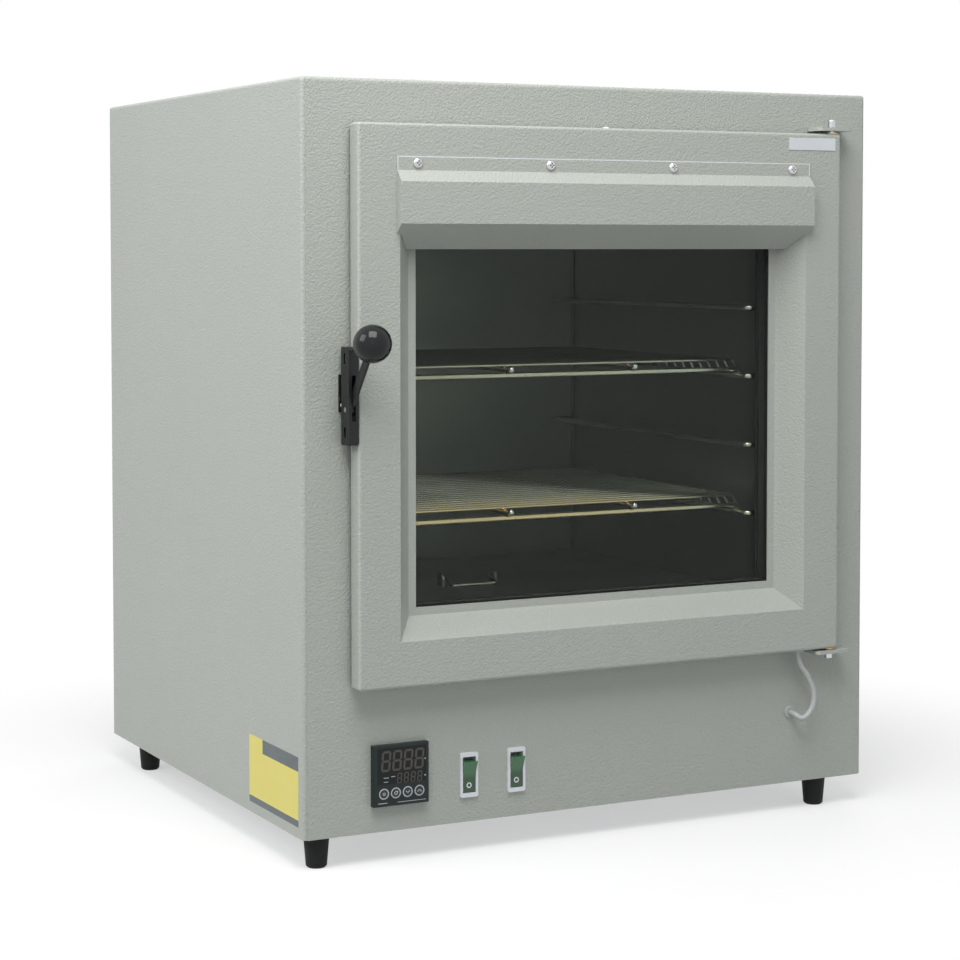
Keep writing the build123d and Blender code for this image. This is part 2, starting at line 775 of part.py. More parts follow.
export_step(door_inner_panel.part, "parts/door_inner_panel.step")

# Door insulation: one ring in the tray and one in the plug round the panes
tray_wool_top = visor_screw_height + screw_shank
with BuildPart() as door_insulation:
    with BuildSketch(facing(door_rear - sheet - running_gap)):
        with Locations((0, door_mid)):
            Rectangle(door_width - 2 * sheet - 2 * wool_margin,
                      door_height - 2 * sheet - 2 * wool_margin)
        with Locations((0, (recess_bottom - 2 * sheet + tray_wool_top) / 2)):
            Rectangle(recess_width + 4 * sheet, tray_wool_top - recess_bottom + 2 * sheet,
                      mode=Mode.SUBTRACT)
    extrude(amount=door_tray_depth - 2 * sheet - running_gap)
    with BuildSketch(facing(plug_depth - sheet)):
        with Locations((0, plug_mid)):
            Rectangle(plug_width - 3 * sheet, plug_height - 3 * sheet)
        with Locations((0, recess_mid)):
            Rectangle(pane_width + 2 * pane_inset, pane_height + 2 * pane_inset,
                      mode=Mode.SUBTRACT)
    extrude(amount=plug_depth - sheet - pane_front - running_gap)
door_insulation.part.label = "door_insulation"
export_step(door_insulation.part, "parts/door_insulation.step")

# Window panes, with the spacer between them and the seal behind the inner one
for pane_name, pane_depth in (("outer_glass", pane_front), ("inner_glass", inner_pane_front)):
    with BuildPart() as pane:
        with BuildSketch(facing(pane_depth)):
            with Locations((0, recess_mid)):
                Rectangle(pane_width, pane_height)
        extrude(amount=-pane_thickness)
    pane.part.label = pane_name
    export_step(pane.part, f"parts/{pane_name}.step")

spacer_front = pane_front + pane_thickness
seal_front = inner_pane_front + pane_thickness
with BuildPart() as glass_seals:
    for ring_front, ring_back in ((spacer_front, inner_pane_front),
                                  (seal_front, plug_depth - sheet)):
        with BuildSketch(facing(ring_back)):
            with Locations((0, recess_mid)):
                Rectangle(pane_width, pane_height)
                Rectangle(opening_width - 2 * sheet, opening_height - 2 * sheet,
                          mode=Mode.SUBTRACT)
        extrude(amount=ring_back - ring_front)
glass_seals.part.label = "glass_seals"
export_step(glass_seals.part, "parts/glass_seals.step")

# Door gasket: a soft ring on the back of the door that meets the cabinet's face
gasket_height = gasket_top - gasket_bottom
with BuildPart() as door_gasket:
    with BuildSketch(facing(-gasket_clearance)):
        with Locations((0, gasket_bottom + gasket_height / 2)):
            RectangleRounded(2 * gasket_half_width, gasket_height, gasket_band)
            RectangleRounded(2 * (gasket_half_width - gasket_band),
                             gasket_height - 2 * gasket_band, gasket_band / 2,
                             mode=Mode.SUBTRACT)
    extrude(amount=door_gap - gasket_clearance)
door_gasket.part.label = "door_gasket"
export_step(door_gasket.part, "parts/door_gasket.step")

# Lamp visor: folded sheet across the door, its lower lip running back into the recess
visor_front = door_face - visor_projection
visor_flange_bottom = visor_top - visor_flange_height
visor_face_top = visor_flange_bottom - visor_slope_height
visor_face_bottom = visor_face_top - visor_face_height
visor_lip_depth = visor_front + visor_lower_depth
lip_slope = (visor_face_bottom - visor_bottom) / visor_lower_depth
lip_at_door = visor_face_bottom - lip_slope * visor_projection
lip_rise = sheet * hypot(1, lip_slope)
visor_clearance = 0.5
visor_back = door_face
visor_skin = visor_back - sheet
with BuildPart() as lamp_visor:
    with BuildSketch(Plane.YZ.offset(-recess_width / 2)):
        with Locations((face_y, 0)):
            Polygon((visor_back, lip_at_door), (visor_lip_depth, visor_bottom),
                    (visor_lip_depth, visor_bottom + lip_rise),
                    (visor_back, lip_at_door + lip_rise), align=None)
    extrude(amount=recess_width)
    with BuildSketch(facing(door_face)):
        with Locations((0, recess_mid)):
            Rectangle(recess_width - 2 * visor_clearance, recess_height - 2 * visor_clearance)
    extrude(amount=-recess_depth, taper=bevel_angle, mode=Mode.INTERSECT)
    with BuildSketch(Plane.YZ.offset(-visor_width / 2)):
        with Locations((face_y, 0)):
            Polygon((visor_back, visor_top), (visor_skin, visor_top),
                    (visor_skin, visor_flange_bottom), (visor_front, visor_face_top),
                    (visor_front, visor_face_bottom), (visor_back, lip_at_door), align=None)
    extrude(amount=visor_width)
    with BuildSketch(Plane.YZ.offset(-visor_width / 2 + sheet)):
        with Locations((face_y, 0)):
            Polygon((visor_back, visor_flange_bottom - sheet / 2),
                    (visor_front + sheet, visor_face_top - sheet / 2),
                    (visor_front + sheet, visor_face_bottom + sheet / 2),
                    (visor_back, lip_at_door + lip_rise), align=None)
    extrude(amount=visor_width - 2 * sheet, mode=Mode.SUBTRACT)
    for screw_x in visor_screw_x:
        drill(screw_x, (visor_skin - 1, visor_back + 1), visor_screw_height, screw_hole)
lamp_visor.part.label = "lamp_visor"
export_step(lamp_visor.part, "parts/lamp_visor.step")

# Visor screws: four pan heads
with BuildPart() as visor_screws:
    for screw_x in visor_screw_x:
        with BuildSketch(facing(visor_skin)):
            with Locations((screw_x, visor_screw_height)):
                Circle(screw_head / 2)
        extrude(amount=screw_head_height, taper=12)
        drill(screw_x, (visor_skin, visor_skin + 6), visor_screw_height, screw_shank, Mode.ADD)
visor_screws.part.label = "visor_screws"
export_step(visor_screws.part, "parts/visor_screws.step")

# Lamp: a tube across the top of the recess, between two holders on the upper bevel
with BuildPart() as lamp_tube:
    with BuildSketch(Plane.YZ.offset(-lamp_length / 2)):
        with Locations((face_y + lamp_depth, lamp_height)):
            Circle(lamp_diameter / 2)
    extrude(amount=lamp_length)
lamp_tube.part.label = "lamp_tube"
export_step(lamp_tube.part, "parts/lamp_tube.step")

with BuildPart() as lamp_holders:
    for side in (-1, 1):
        holder_x = side * (lamp_length + holder_thickness) / 2
        block((holder_x - holder_thickness / 2, holder_x + holder_thickness / 2),
              (lamp_depth - lamp_diameter / 2 - 1, lamp_depth + lamp_diameter / 2 + 1),
              (lamp_height - lamp_diameter / 2 - 1, recess_bottom + recess_height))
    with BuildSketch(facing(door_face)):
        with Locations((0, recess_mid)):
            Rectangle(recess_width, recess_height)
    extrude(amount=-recess_depth, taper=bevel_angle, mode=Mode.INTERSECT)
lamp_holders.part.label = "lamp_holders"
export_step(lamp_holders.part, "parts/lamp_holders.step")

# Hinge brackets: plates through the front panel, each with a leg behind it
for bracket_name, tongue_bottom, leg_low, leg_high in (
    ("hinge_bracket_upper", upper_plate_bottom, upper_plate_top - hinge_leg - hinge_plate,
     upper_plate_top),
    ("hinge_bracket_lower", lower_plate_bottom, lower_plate_bottom,
     lower_plate_bottom + hinge_leg + hinge_plate),
):
    with BuildPart() as hinge_bracket:
        block((hinge_plate_left, hinge_plate_right), (sheet, sheet + hinge_plate),
              (leg_low, leg_high))
        tongue_front = hinge_depth - hinge_plate_overhang
        block((hinge_plate_left, hinge_plate_right), (tongue_front, sheet + hinge_plate),
              (tongue_bottom, tongue_bottom + hinge_plate))
        tongue_corners = hinge_bracket.edges().filter_by(Axis.Z).group_by(Axis.Y)[0]
        fillet(tongue_corners, 4)
        with BuildSketch(Plane.XY.offset(tongue_bottom)):
            with Locations((hinge_x, face_y + hinge_depth)):
                Circle(hinge_pin / 2 + pin_clearance)
        extrude(amount=hinge_plate, mode=Mode.SUBTRACT)
    hinge_bracket.part.label = bracket_name
    export_step(hinge_bracket.part, f"parts/{bracket_name}.step")

# Hinge pins: shouldered, the upper one dropped in from above, the lower one from below
pin_foot = door_top - hinge_engagement
pin_tip = door_bottom + hinge_engagement
hinge_point = (hinge_x, face_y + hinge_depth)
with BuildPart() as hinge_pins:
    with BuildSketch(Plane.XY.offset(pin_foot)):
        with Locations(hinge_point):
            Circle(hinge_pin / 2)
    extrude(amount=upper_plate_top - pin_foot)
    with BuildSketch(Plane.XY.offset(upper_plate_top)):
        with Locations(hinge_point):
            Circle(hinge_head / 2)
    extrude(amount=hinge_head_height)
    fillet(hinge_pins.edges().sort_by(Axis.Z)[-1], 1.2)
    with BuildSketch(Plane.XY.offset(lower_plate_bottom)):
        with Locations(hinge_point):
            Circle(hinge_pin / 2)
    extrude(amount=pin_tip - lower_plate_bottom)
    with BuildSketch(Plane.XY.offset(lower_plate_bottom - hinge_lower_head)):
        with Locations(hinge_point):
            Circle(hinge_head / 2)
    extrude(amount=hinge_lower_head)
hinge_pins.part.label = "hinge_pins"
export_step(hinge_pins.part, "parts/hinge_pins.step")

# Hinge bushes: flanged sleeves in the top and bottom of the door
bush_collar = 1.2
with BuildPart() as hinge_bushes:
    for bush_low, collar_low in ((pin_foot, door_top), (door_bottom, door_bottom - bush_collar)):
        with BuildSketch(Plane.XY.offset(bush_low)):
            with Locations(hinge_point):
                Circle(bush_diameter / 2)
        extrude(amount=hinge_engagement)
        with BuildSketch(Plane.XY.offset(collar_low)):
            with Locations(hinge_point):
                Circle(bush_flange / 2)
        extrude(amount=bush_collar)
    with BuildSketch(Plane.XY.offset(door_bottom - 2 * bush_collar)):
        with Locations(hinge_point):
            Circle(hinge_pin / 2 + pin_clearance)
    extrude(amount=door_height + 4 * bush_collar, mode=Mode.SUBTRACT)
hinge_bushes.part.label = "hinge_bushes"
export_step(hinge_bushes.part, "parts/hinge_bushes.step")

# Latch bracket: a narrow box on the door's edge, open to the cabinet, slotted for the lever
latch_top = latch_bottom + latch_height
latch_round = 3.0
latch_cavity_left = latch_left + latch_wall
latch_cavity_right = -door_width / 2 - latch_wall
latch_pin_hole = latch_pin + 0.1
with BuildPart() as latch_bracket:
    block((latch_left, -door_width / 2), (latch_front, latch_rear), (latch_bottom, latch_top))
    fillet(latch_bracket.edges().filter_by(Axis.X).group_by(Axis.Y)[0], latch_round)
    offset(amount=-latch_wall, openings=latch_bracket.faces().sort_by(Axis.Y)[-1])
    with BuildSketch(facing(latch_front)):
        with Locations((latch_centre_x, (lever_slot_bottom + lever_slot_top) / 2)):
            Rectangle(lever_slot_width, lever_slot_top - lever_slot_bottom)
    extrude(amount=-latch_wall, mode=Mode.SUBTRACT)
    with BuildSketch(Plane.YZ.offset(latch_left)):
        with Locations(Location((face_y + latch_pivot_depth, latch_screw_lower), 90),
                       Location((face_y + latch_pivot_depth, latch_screw_upper), 90)):
            SlotOverall(access_length, access_width)
    extrude(amount=latch_wall, mode=Mode.SUBTRACT)
    with BuildSketch(Plane.YZ.offset(-door_width / 2)):
        with Locations((face_y + latch_pivot_depth, latch_screw_lower),
                       (face_y + latch_pivot_depth, latch_screw_upper)):
            Circle(latch_screw_hole / 2)
    extrude(amount=-latch_wall, mode=Mode.SUBTRACT)
    with BuildSketch(Plane.YZ.offset(latch_left)):
        with Locations((face_y + latch_pivot_depth, latch_pivot_height)):
            Circle(latch_pin_hole / 2)
    extrude(amount=latch_width, mode=Mode.SUBTRACT)
latch_bracket.part.label = "latch_bracket"
export_step(latch_bracket.part, "parts/latch_bracket.step")

# Latch screws: two, reached through the slots in the bracket's outer wall
latch_screw = 3.2
latch_screw_head = 5.5
latch_head_height = 2.0
with BuildPart() as latch_screws:
    for screw_z in (latch_screw_lower, latch_screw_upper):
        with BuildSketch(Plane.YZ.offset(latch_cavity_right - latch_head_height)):
            with Locations((face_y + latch_pivot_depth, screw_z)):
                Circle(latch_screw_head / 2)
        extrude(amount=latch_head_height)
        with BuildSketch(Plane.YZ.offset(latch_cavity_right)):
            with Locations((face_y + latch_pivot_depth, screw_z)):
                Circle(latch_screw / 2)
        extrude(amount=latch_wall + 3 * sheet)
latch_screws.part.label = "latch_screws"
export_step(latch_screws.part, "parts/latch_screws.step")

# Latch pin: riveted flush through the bracket
with BuildPart() as latch_pin_rivet:
    with BuildSketch(Plane.YZ.offset(latch_left)):
        with Locations((face_y + latch_pivot_depth, latch_pivot_height)):
            Circle(latch_pin / 2)
    extrude(amount=latch_width)
latch_pin_rivet.part.label = "latch_pin"
export_step(latch_pin_rivet.part, "parts/latch_pin.step")

# Latch lever: a hub with a long arm to the ball and a short nose behind the keeper
pivot = Vector(latch_centre_x, face_y + latch_pivot_depth, latch_pivot_height)
knob_centre = point(latch_centre_x, -knob_reach, knob_height)
arm_way = knob_centre - pivot
arm_length = arm_way.length - knob_flat
nose_way = Vector(0, nose_back, nose_rise)
lever_face = latch_centre_x - lever_thickness / 2
arm_plane = Plane((lever_face, pivot.Y, pivot.Z), x_dir=arm_way, z_dir=(1, 0, 0))
nose_plane = Plane((lever_face, pivot.Y, pivot.Z), x_dir=nose_way, z_dir=(1, 0, 0))
with BuildPart() as latch_lever:
    with BuildSketch(arm_plane):
        Circle(lever_hub / 2)
        with Locations((arm_length / 2, 0)):
            Rectangle(arm_length, lever_width)
    extrude(amount=lever_thickness)
    with BuildSketch(nose_plane):
        with Locations((nose_way.length / 2, 0)):
            Rectangle(nose_way.length, nose_width)
    extrude(amount=lever_thickness)
    with BuildSketch(arm_plane):
        Circle(latch_pin / 2 + 0.1)
    extrude(amount=lever_thickness, mode=Mode.SUBTRACT)
    stud_start = pivot + arm_way.normalized() * (arm_length - 2)
    with BuildSketch(Plane(stud_start, z_dir=arm_way)):
        Circle(knob_stud / 2)
    extrude(amount=knob_flat)
latch_lever.part.label = "latch_lever"
export_step(latch_lever.part, "parts/latch_lever.step")

# Ball knob: a sphere with a small flat where the arm enters and a blind hole for its stud
with BuildPart() as ball_knob:
    with Locations(knob_centre):
        Sphere(knob_diameter / 2)
    with BuildSketch(Plane(knob_centre - arm_way.normalized() * knob_diameter, z_dir=arm_way)):
        Circle(knob_diameter)
    extrude(amount=knob_diameter - knob_flat, mode=Mode.SUBTRACT)
    with BuildSketch(Plane(knob_centre - arm_way.normalized() * knob_flat, z_dir=arm_way)):
        Circle(knob_stud / 2)
    extrude(amount=knob_flat - 2, mode=Mode.SUBTRACT)
ball_knob.part.label = "ball_knob"
export_step(ball_knob.part, "parts/ball_knob.step")

# Latch keeper: a plate on the cabinet with a raised lip
with BuildPart() as latch_keeper:
    block((keeper_left, keeper_left + keeper_width), (-keeper_thickness, 0),
          (keeper_bottom, keeper_bottom + keeper_height))
    block((keeper_left, keeper_left + keeper_width), (-keeper_lip_reach, 0),
          (keeper_lip_bottom, keeper_lip_bottom + keeper_lip_height))
    drill(keeper_screw_x, (-keeper_thickness - 1, 1), keeper_screw_height, keeper_screw_hole)
latch_keeper.part.label = "latch_keeper"
export_step(latch_keeper.part, "parts/latch_keeper.step")

# Controller: a square bezel with four key holes, a display window and a case behind
window_recess = 0.2
key_places = []
for key_number in range(4):
    key_places += [(controller_x + (key_number - 1.5) * key_pitch, key_height)]
with BuildPart() as controller_bezel:
    with BuildSketch(facing(0)):
        with Locations((controller_x, controller_height)):
            Rectangle(controller_width, controller_tall)
        with Locations(*key_places):
            Circle(key_diameter / 2 + key_gap, mode=Mode.SUBTRACT)
    extrude(amount=controller_proud)
    fillet(controller_bezel.faces().sort_by(Axis.Y)[0].outer_wire().edges(), 1.0)
    with BuildSketch(facing(-controller_proud)):
        with Locations((controller_x, window_centre_height)):
            Rectangle(window_width, window_pane_height)
    extrude(amount=-(window_thickness + window_recess), mode=Mode.SUBTRACT)
controller_bezel.part.label = "controller_bezel"
export_step(controller_bezel.part, "parts/controller_bezel.step")

with BuildPart() as controller_window:
    with BuildSketch(facing(-controller_proud + window_recess)):
        with Locations((controller_x, window_centre_height)):
            Rectangle(window_width, window_pane_height)
    extrude(amount=-window_thickness)
controller_window.part.label = "controller_window"
export_step(controller_window.part, "parts/controller_window.step")

with BuildPart() as controller_case:
    with BuildSketch(facing(0)):
        with Locations((controller_x, controller_height)):
            Rectangle(controller_body, controller_body)
    extrude(amount=-controller_body_depth)
    with BuildSketch(facing(controller_body_depth)):
        with Locations((controller_x, controller_height)):
            with GridLocations(10, 9, 3, 4):
                Rectangle(7, 6)
    extrude(amount=6, mode=Mode.SUBTRACT)
controller_case.part.label = "controller_case"
export_step(controller_case.part, "parts/controller_case.step")

# Controller keys: four round caps that press straight in
for key_number, key_place in enumerate(key_places):
    with BuildPart() as controller_key:
        with BuildSketch(facing(-controller_proud - key_proud + key_length)):
            with Locations(key_place):
                Circle(key_diameter / 2)
        extrude(amount=key_length)
    controller_key.part.label = f"controller_key_{key_number + 1}"
    export_step(controller_key.part, f"parts/controller_key_{key_number + 1}.step")

# Rocker switches: a housing with a bezel, and a rocker on stub axles, tilted to off
well_half_width = rocker_width / 2 + rocker_gap
well_half_height = rocker_half + 1.55
for switch_name, switch_x in (("left", switch_x_left), ("right", switch_x_right)):
    switch_pivot = point(switch_x, rocker_pivot_depth, switch_height)
    with BuildPart() as switch_housing:
        block((switch_x - bezel_width / 2, switch_x + bezel_width / 2), (-bezel_proud, 0),
              (switch_height - bezel_tall / 2, switch_height + bezel_tall / 2))
        fillet(switch_housing.edges().filter_by(Axis.Y), 1.5)
        block((switch_x - switch_body_width / 2, switch_x + switch_body_width / 2),
              (0, switch_body_depth),
              (switch_height - switch_body_tall / 2, switch_height + switch_body_tall / 2))
        block((switch_x - well_half_width, switch_x + well_half_width),
              (-bezel_proud, rocker_well_depth),
              (switch_height - well_half_height, switch_height + well_half_height),
              Mode.SUBTRACT)
        with Locations(Location(switch_pivot, (0, 90, 0))):
            Cylinder(rocker_axle / 2 + 0.1, rocker_width + 2 * rocker_axle_reach + 0.2,
                     mode=Mode.SUBTRACT)
    switch_housing.part.label = f"switch_housing_{switch_name}"
    export_step(switch_housing.part, f"parts/switch_housing_{switch_name}.step")

    with BuildPart() as rocker:
        rocker_side = (switch_x - rocker_width / 2, switch_pivot.Y, switch_pivot.Z)
        tilt = radians(rocker_tilt)
        tilted = Plane(rocker_side, x_dir=(0, cos(tilt), sin(tilt)), z_dir=(1, 0, 0))
        with BuildSketch(tilted):
            Polygon((-rocker_crest, rocker_half), (-rocker_valley, 0),
                    (-rocker_crest, -rocker_half), (rocker_root, -rocker_root_half),
                    (rocker_root, rocker_root_half), align=None)
        extrude(amount=rocker_width)
        with Locations(Location(switch_pivot, (0, 90, 0))):
            Cylinder(rocker_axle / 2, rocker_width + 2 * rocker_axle_reach)
    rocker.part.label = f"rocker_{switch_name}"
    export_step(rocker.part, f"parts/rocker_{switch_name}.step")

# Grommets where the lamp cable leaves the cabinet and enters the door
grommet_back = 1.5
cable_radius = cable_diameter / 2
with BuildPart() as panel_grommet:
    drill(cable_exit_x, (-grommet_proud, 0), cable_exit_height, grommet_flange, Mode.ADD)
    fillet(panel_grommet.edges().sort_by(Axis.Y)[0], 1.0)
    drill(cable_exit_x, (0, sheet), cable_exit_height, grommet_neck, Mode.ADD)
    drill(cable_exit_x, (sheet, sheet + grommet_back), cable_exit_height, grommet_flange,
          Mode.ADD)
    drill(cable_exit_x, (-grommet_proud - 1, sheet + grommet_back + 1), cable_exit_height,
          cable_diameter)
panel_grommet.part.label = "panel_grommet"
export_step(panel_grommet.part, "parts/panel_grommet.step")

cable_door_point = (cable_door_x, face_y + cable_door_depth)
with BuildPart() as door_grommet:
    with BuildSketch(Plane.XY.offset(door_bottom - grommet_proud)):
        with Locations(cable_door_point):
            Circle(grommet_flange / 2)
    extrude(amount=grommet_proud)
    fillet(door_grommet.edges().sort_by(Axis.Z)[0], 1.0)
    with BuildSketch(Plane.XY.offset(door_bottom)):
        with Locations(cable_door_point):
            Circle(grommet_neck / 2)
    extrude(amount=sheet)
    with BuildSketch(Plane.XY.offset(door_bottom + sheet)):
        with Locations(cable_door_point):
            Circle(grommet_flange / 2 - 0.5)
    extrude(amount=grommet_back)
    with BuildSketch(Plane.XY.offset(door_bottom - 2 * grommet_proud)):
        with Locations(cable_door_point):
            Circle(cable_radius)
    extrude(amount=4 * grommet_proud, mode=Mode.SUBTRACT)
door_grommet.part.label = "door_grommet"
export_step(door_grommet.part, "parts/door_grommet.step")

# Lamp cable: a short loop out of the panel, forward, up and into the door from below
cable_route = [
    point(cable_exit_x, sheet + grommet_back, cable_exit_height),
    point(cable_exit_x, -7.5, cable_exit_height),
    point(cable_exit_x + 5.0, -12.5, cable_exit_height - 5.5),
    point(cable_exit_x + 13.0, -14.0, cable_exit_height + 1.0),
    point(cable_exit_x + 17.0, -14.0, cable_exit_height + 11.5),
    point(cable_exit_x + 16.0, -13.0, cable_exit_height + 22.0),
    point(cable_exit_x + 10.5, -12.0, cable_exit_height + 33.0),
    point(cable_exit_x + 4.0, -11.0, cable_exit_height + 42.0),
    point(cable_door_x, cable_door_depth, door_bottom - 6.0),
    point(cable_door_x, cable_door_depth, door_bottom + sheet + grommet_back),
]
cable_radii = []
for before, here, after in zip(cable_route, cable_route[1:], cable_route[2:]):
    half_turn = radians((here - before).get_angle(after - here)) / 2
    shorter_run = min((here - before).length, (after - here).length)
    cable_radii += [0.45 * shorter_run / tan(half_turn)]
with BuildPart() as door_cable:
    with BuildLine() as cable_line:
        FilletPolyline(*cable_route, radius=cable_radii)
    with BuildSketch(Plane(cable_route[0], z_dir=cable_route[1] - cable_route[0])):
        Circle(cable_radius)
    sweep(path=cable_line.wire())
door_cable.part.label = "door_cable"
export_step(door_cable.part, "parts/door_cable.step")
print("cable radii", [round(radius, 1) for radius in cable_radii])
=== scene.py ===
"""Finishes, small fittings and a studio for the laboratory drying oven.

Every piece is in metres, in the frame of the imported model, and rides on one of its bodies.
"""
from math import pi, radians

import bmesh
import bpy
from bpy.props import FloatProperty, FloatVectorProperty, IntProperty, PointerProperty
from mathutils import Matrix, Vector


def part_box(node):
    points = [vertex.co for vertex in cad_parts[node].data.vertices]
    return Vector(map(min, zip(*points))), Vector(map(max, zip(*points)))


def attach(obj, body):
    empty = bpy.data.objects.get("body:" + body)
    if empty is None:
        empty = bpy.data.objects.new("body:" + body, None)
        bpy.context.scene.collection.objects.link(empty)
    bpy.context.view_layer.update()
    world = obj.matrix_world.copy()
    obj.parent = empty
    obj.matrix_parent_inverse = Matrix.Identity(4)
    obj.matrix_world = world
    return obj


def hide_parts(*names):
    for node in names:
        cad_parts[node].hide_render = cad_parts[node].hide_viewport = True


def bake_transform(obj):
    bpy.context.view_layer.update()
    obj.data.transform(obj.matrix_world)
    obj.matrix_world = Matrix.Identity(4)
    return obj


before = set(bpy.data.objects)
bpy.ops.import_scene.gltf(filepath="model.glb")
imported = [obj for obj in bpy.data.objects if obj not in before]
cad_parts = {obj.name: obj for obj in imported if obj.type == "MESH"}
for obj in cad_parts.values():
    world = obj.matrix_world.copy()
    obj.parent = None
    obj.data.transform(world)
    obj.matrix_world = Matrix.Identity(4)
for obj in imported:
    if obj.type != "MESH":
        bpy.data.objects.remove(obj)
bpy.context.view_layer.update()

bl_info = {
    "name": "Drying Oven Finishes",
    "version": (1, 0, 0),
    "blender": (4, 5, 0),
    "location": "3D View > Sidebar > Oven",
    "description": "Finishes, fittings and studio for a laboratory drying oven",
    "category": "Object",
}


def node_box(node):
    low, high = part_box(node)
    return Vector(low), Vector(high)


PANEL_LOW = node_box("front_panel")[0]
CASING_LOW = node_box("outer_casing")[0]
CHAMBER_LOW, CHAMBER_HIGH = node_box("inner_chamber")
DOOR_LOW, DOOR_HIGH = node_box("door_outer_skin")
VISOR_LOW, VISOR_HIGH = node_box("lamp_visor")
BEZEL_LOW, BEZEL_HIGH = node_box("controller_bezel")
WINDOW_LOW = node_box("controller_window")[0]

# A printed mark stands this far out of its surface, and reaches this far into it
PRINT_PROUD = 0.00006
PRINT_SUNK = 0.0001

# The side label's lower front corner: above the bench, and behind the panel's face
LABEL_LOW = 0.0335
LABEL_SETBACK = 0.0110
LABEL_PROUD = 0.00008
LABEL_BAND_END = 0.72

# Front of the visor's flange, and its screws from left to right
FLANGE_FACE = VISOR_LOW.y + 0.009 - 0.0012
VISOR_SCREW_X = (-0.177, -0.058, 0.058, 0.177)

# The shelves' runners and the chamber's corners, from the middle
RUNNER_X = 0.060
WELD_X = 0.1888

# The rockers' pivot, their tilt when off, and the bend between their halves
ROCKER_PIVOT_DEPTH = 0.0035
ROCKER_PIVOT_HEIGHT = 0.0636
ROCKER_TILT = radians(11)
ROCKER_BEND = radians(-12.8)
OFF_MARK_DROP = 0.0076

# Lower than real glass, so that the panes mirror as little of the room as in the photograph
PANE_INDEX = 1.16

# The floor: half its width, its tone as the background and as a reflector, and the distances
# from the middle and the shares between which it turns to plain paper
FLOOR_REACH = 6.0
FLOOR_SEEN = (0.93, 0.93, 0.93, 1.0)
FLOOR_UNSEEN = (0.46, 0.46, 0.46, 1.0)
PAPER_SPAN = (0.30, 0.75)
PAPER_SHARE = (0.45, 1.0)

# Light of the room on the part
ROOM_TONE = (0.97, 0.99, 1.0, 1.0)
ROOM_STRENGTH = 0.34

# Name, place, width and power of each lamp, and the point that they all face
LAMPS = (
    ("side_light", (-1.7, -0.1, 1.3), 1.0, 13.5),
    ("front_light", (-1.2, -2.4, 0.9), 1.2, 0.8),
    ("back_light", (1.7, 1.9, 1.5), 1.2, 13.0),
    ("top_light", (-0.45, -0.85, 1.65), 1.0, 22.0),
)
LAMP_AIM = Vector((0.0, 0.0, 0.3))

# The photograph's camera
CAMERA_PLACE = (-0.9851, -1.9261, 0.4917)
CAMERA_TURN = (radians(87.43), 0.0, radians(-27.11))
CAMERA_LENS = 89.4
CAMERA_SHIFT = (-0.0072, -0.1307)


def colour(name, description, default):
    return FloatVectorProperty(name=name, description=description, subtype="COLOR", size=4,
                               min=0.0, max=1.0, default=(*default, 1.0))


def length(name, description, default):
    return FloatProperty(name=name, description=description, subtype="DISTANCE",
                         unit="LENGTH", default=default)


class OvenFinishes(bpy.types.PropertyGroup):
    paint: colour("Casing Paint", "Powder coat of the casing and door", (0.430, 0.458, 0.418))
    stainless: colour("Stainless Sheet", "Chamber, floor and door liner", (0.235, 0.238, 0.222))
    shelf_wire: colour("Shelf Wire", "Rods of the shelves and supports", (0.47, 0.47, 0.44))
    dull_wire: colour("Dull Wire", "Cloudy patches of the shelf wire", (0.24, 0.24, 0.21))
    # A straw colour that the shelf wire takes at the front and left of the lower shelf, fading
    # towards the back, the right and the upper shelf
    straw_tint: colour("Straw Tint", "Straw colour where the wire has been hot", (0.74, 0.54, 0.32))
    weld: colour("Ground Weld", "Weld beads in the chamber's corners", (0.27, 0.28, 0.28))
    zinc: colour("Zinc Plate", "Screws, pins and plain steel", (0.58, 0.60, 0.62))
    chrome: colour("Bright Head", "Visor screws and runner ends", (0.62, 0.63, 0.64))
    black_paint: colour("Black Paint", "Latch bracket, lever and keeper", (0.013, 0.014, 0.015))
    black_mould: colour("Black Moulding", "Controller bezel and case", (0.010, 0.018, 0.018))
    knob: colour("Ball Knob", "Polished knob", (0.010, 0.012, 0.013))
    switch_frame: colour("Switch Frame", "White switch housings", (0.80, 0.82, 0.86))
    # Painted shade: the rockers are lighter green in their upper half and a darker green in their
    # lower half, in place of the shade that falls on it
    rocker: colour("Rocker", "Upper half of the green rockers", (0.022, 0.165, 0.048))
    rocker_painted_shade: colour("Rocker Painted Shade", "Lower half of the green rockers", (0.008, 0.062, 0.018))
    display: colour("Unlit Digits", "Digits on the controller's window", (0.066, 0.054, 0.045))
    print_white: colour("Printed Marks", "Rings and marks round the keys", (0.50, 0.54, 0.56))
    cable: colour("Cable Sheath", "Grey lamp cable", (0.46, 0.48, 0.47))
    label: colour("Side Label", "Blank adhesive label", (0.80, 0.70, 0.13))
    label_band: colour("Label Band", "Slate band of the label", (0.070, 0.095, 0.105))
    badge: colour("Badge Plate", "Bare plate on the door", (0.60, 0.63, 0.66))


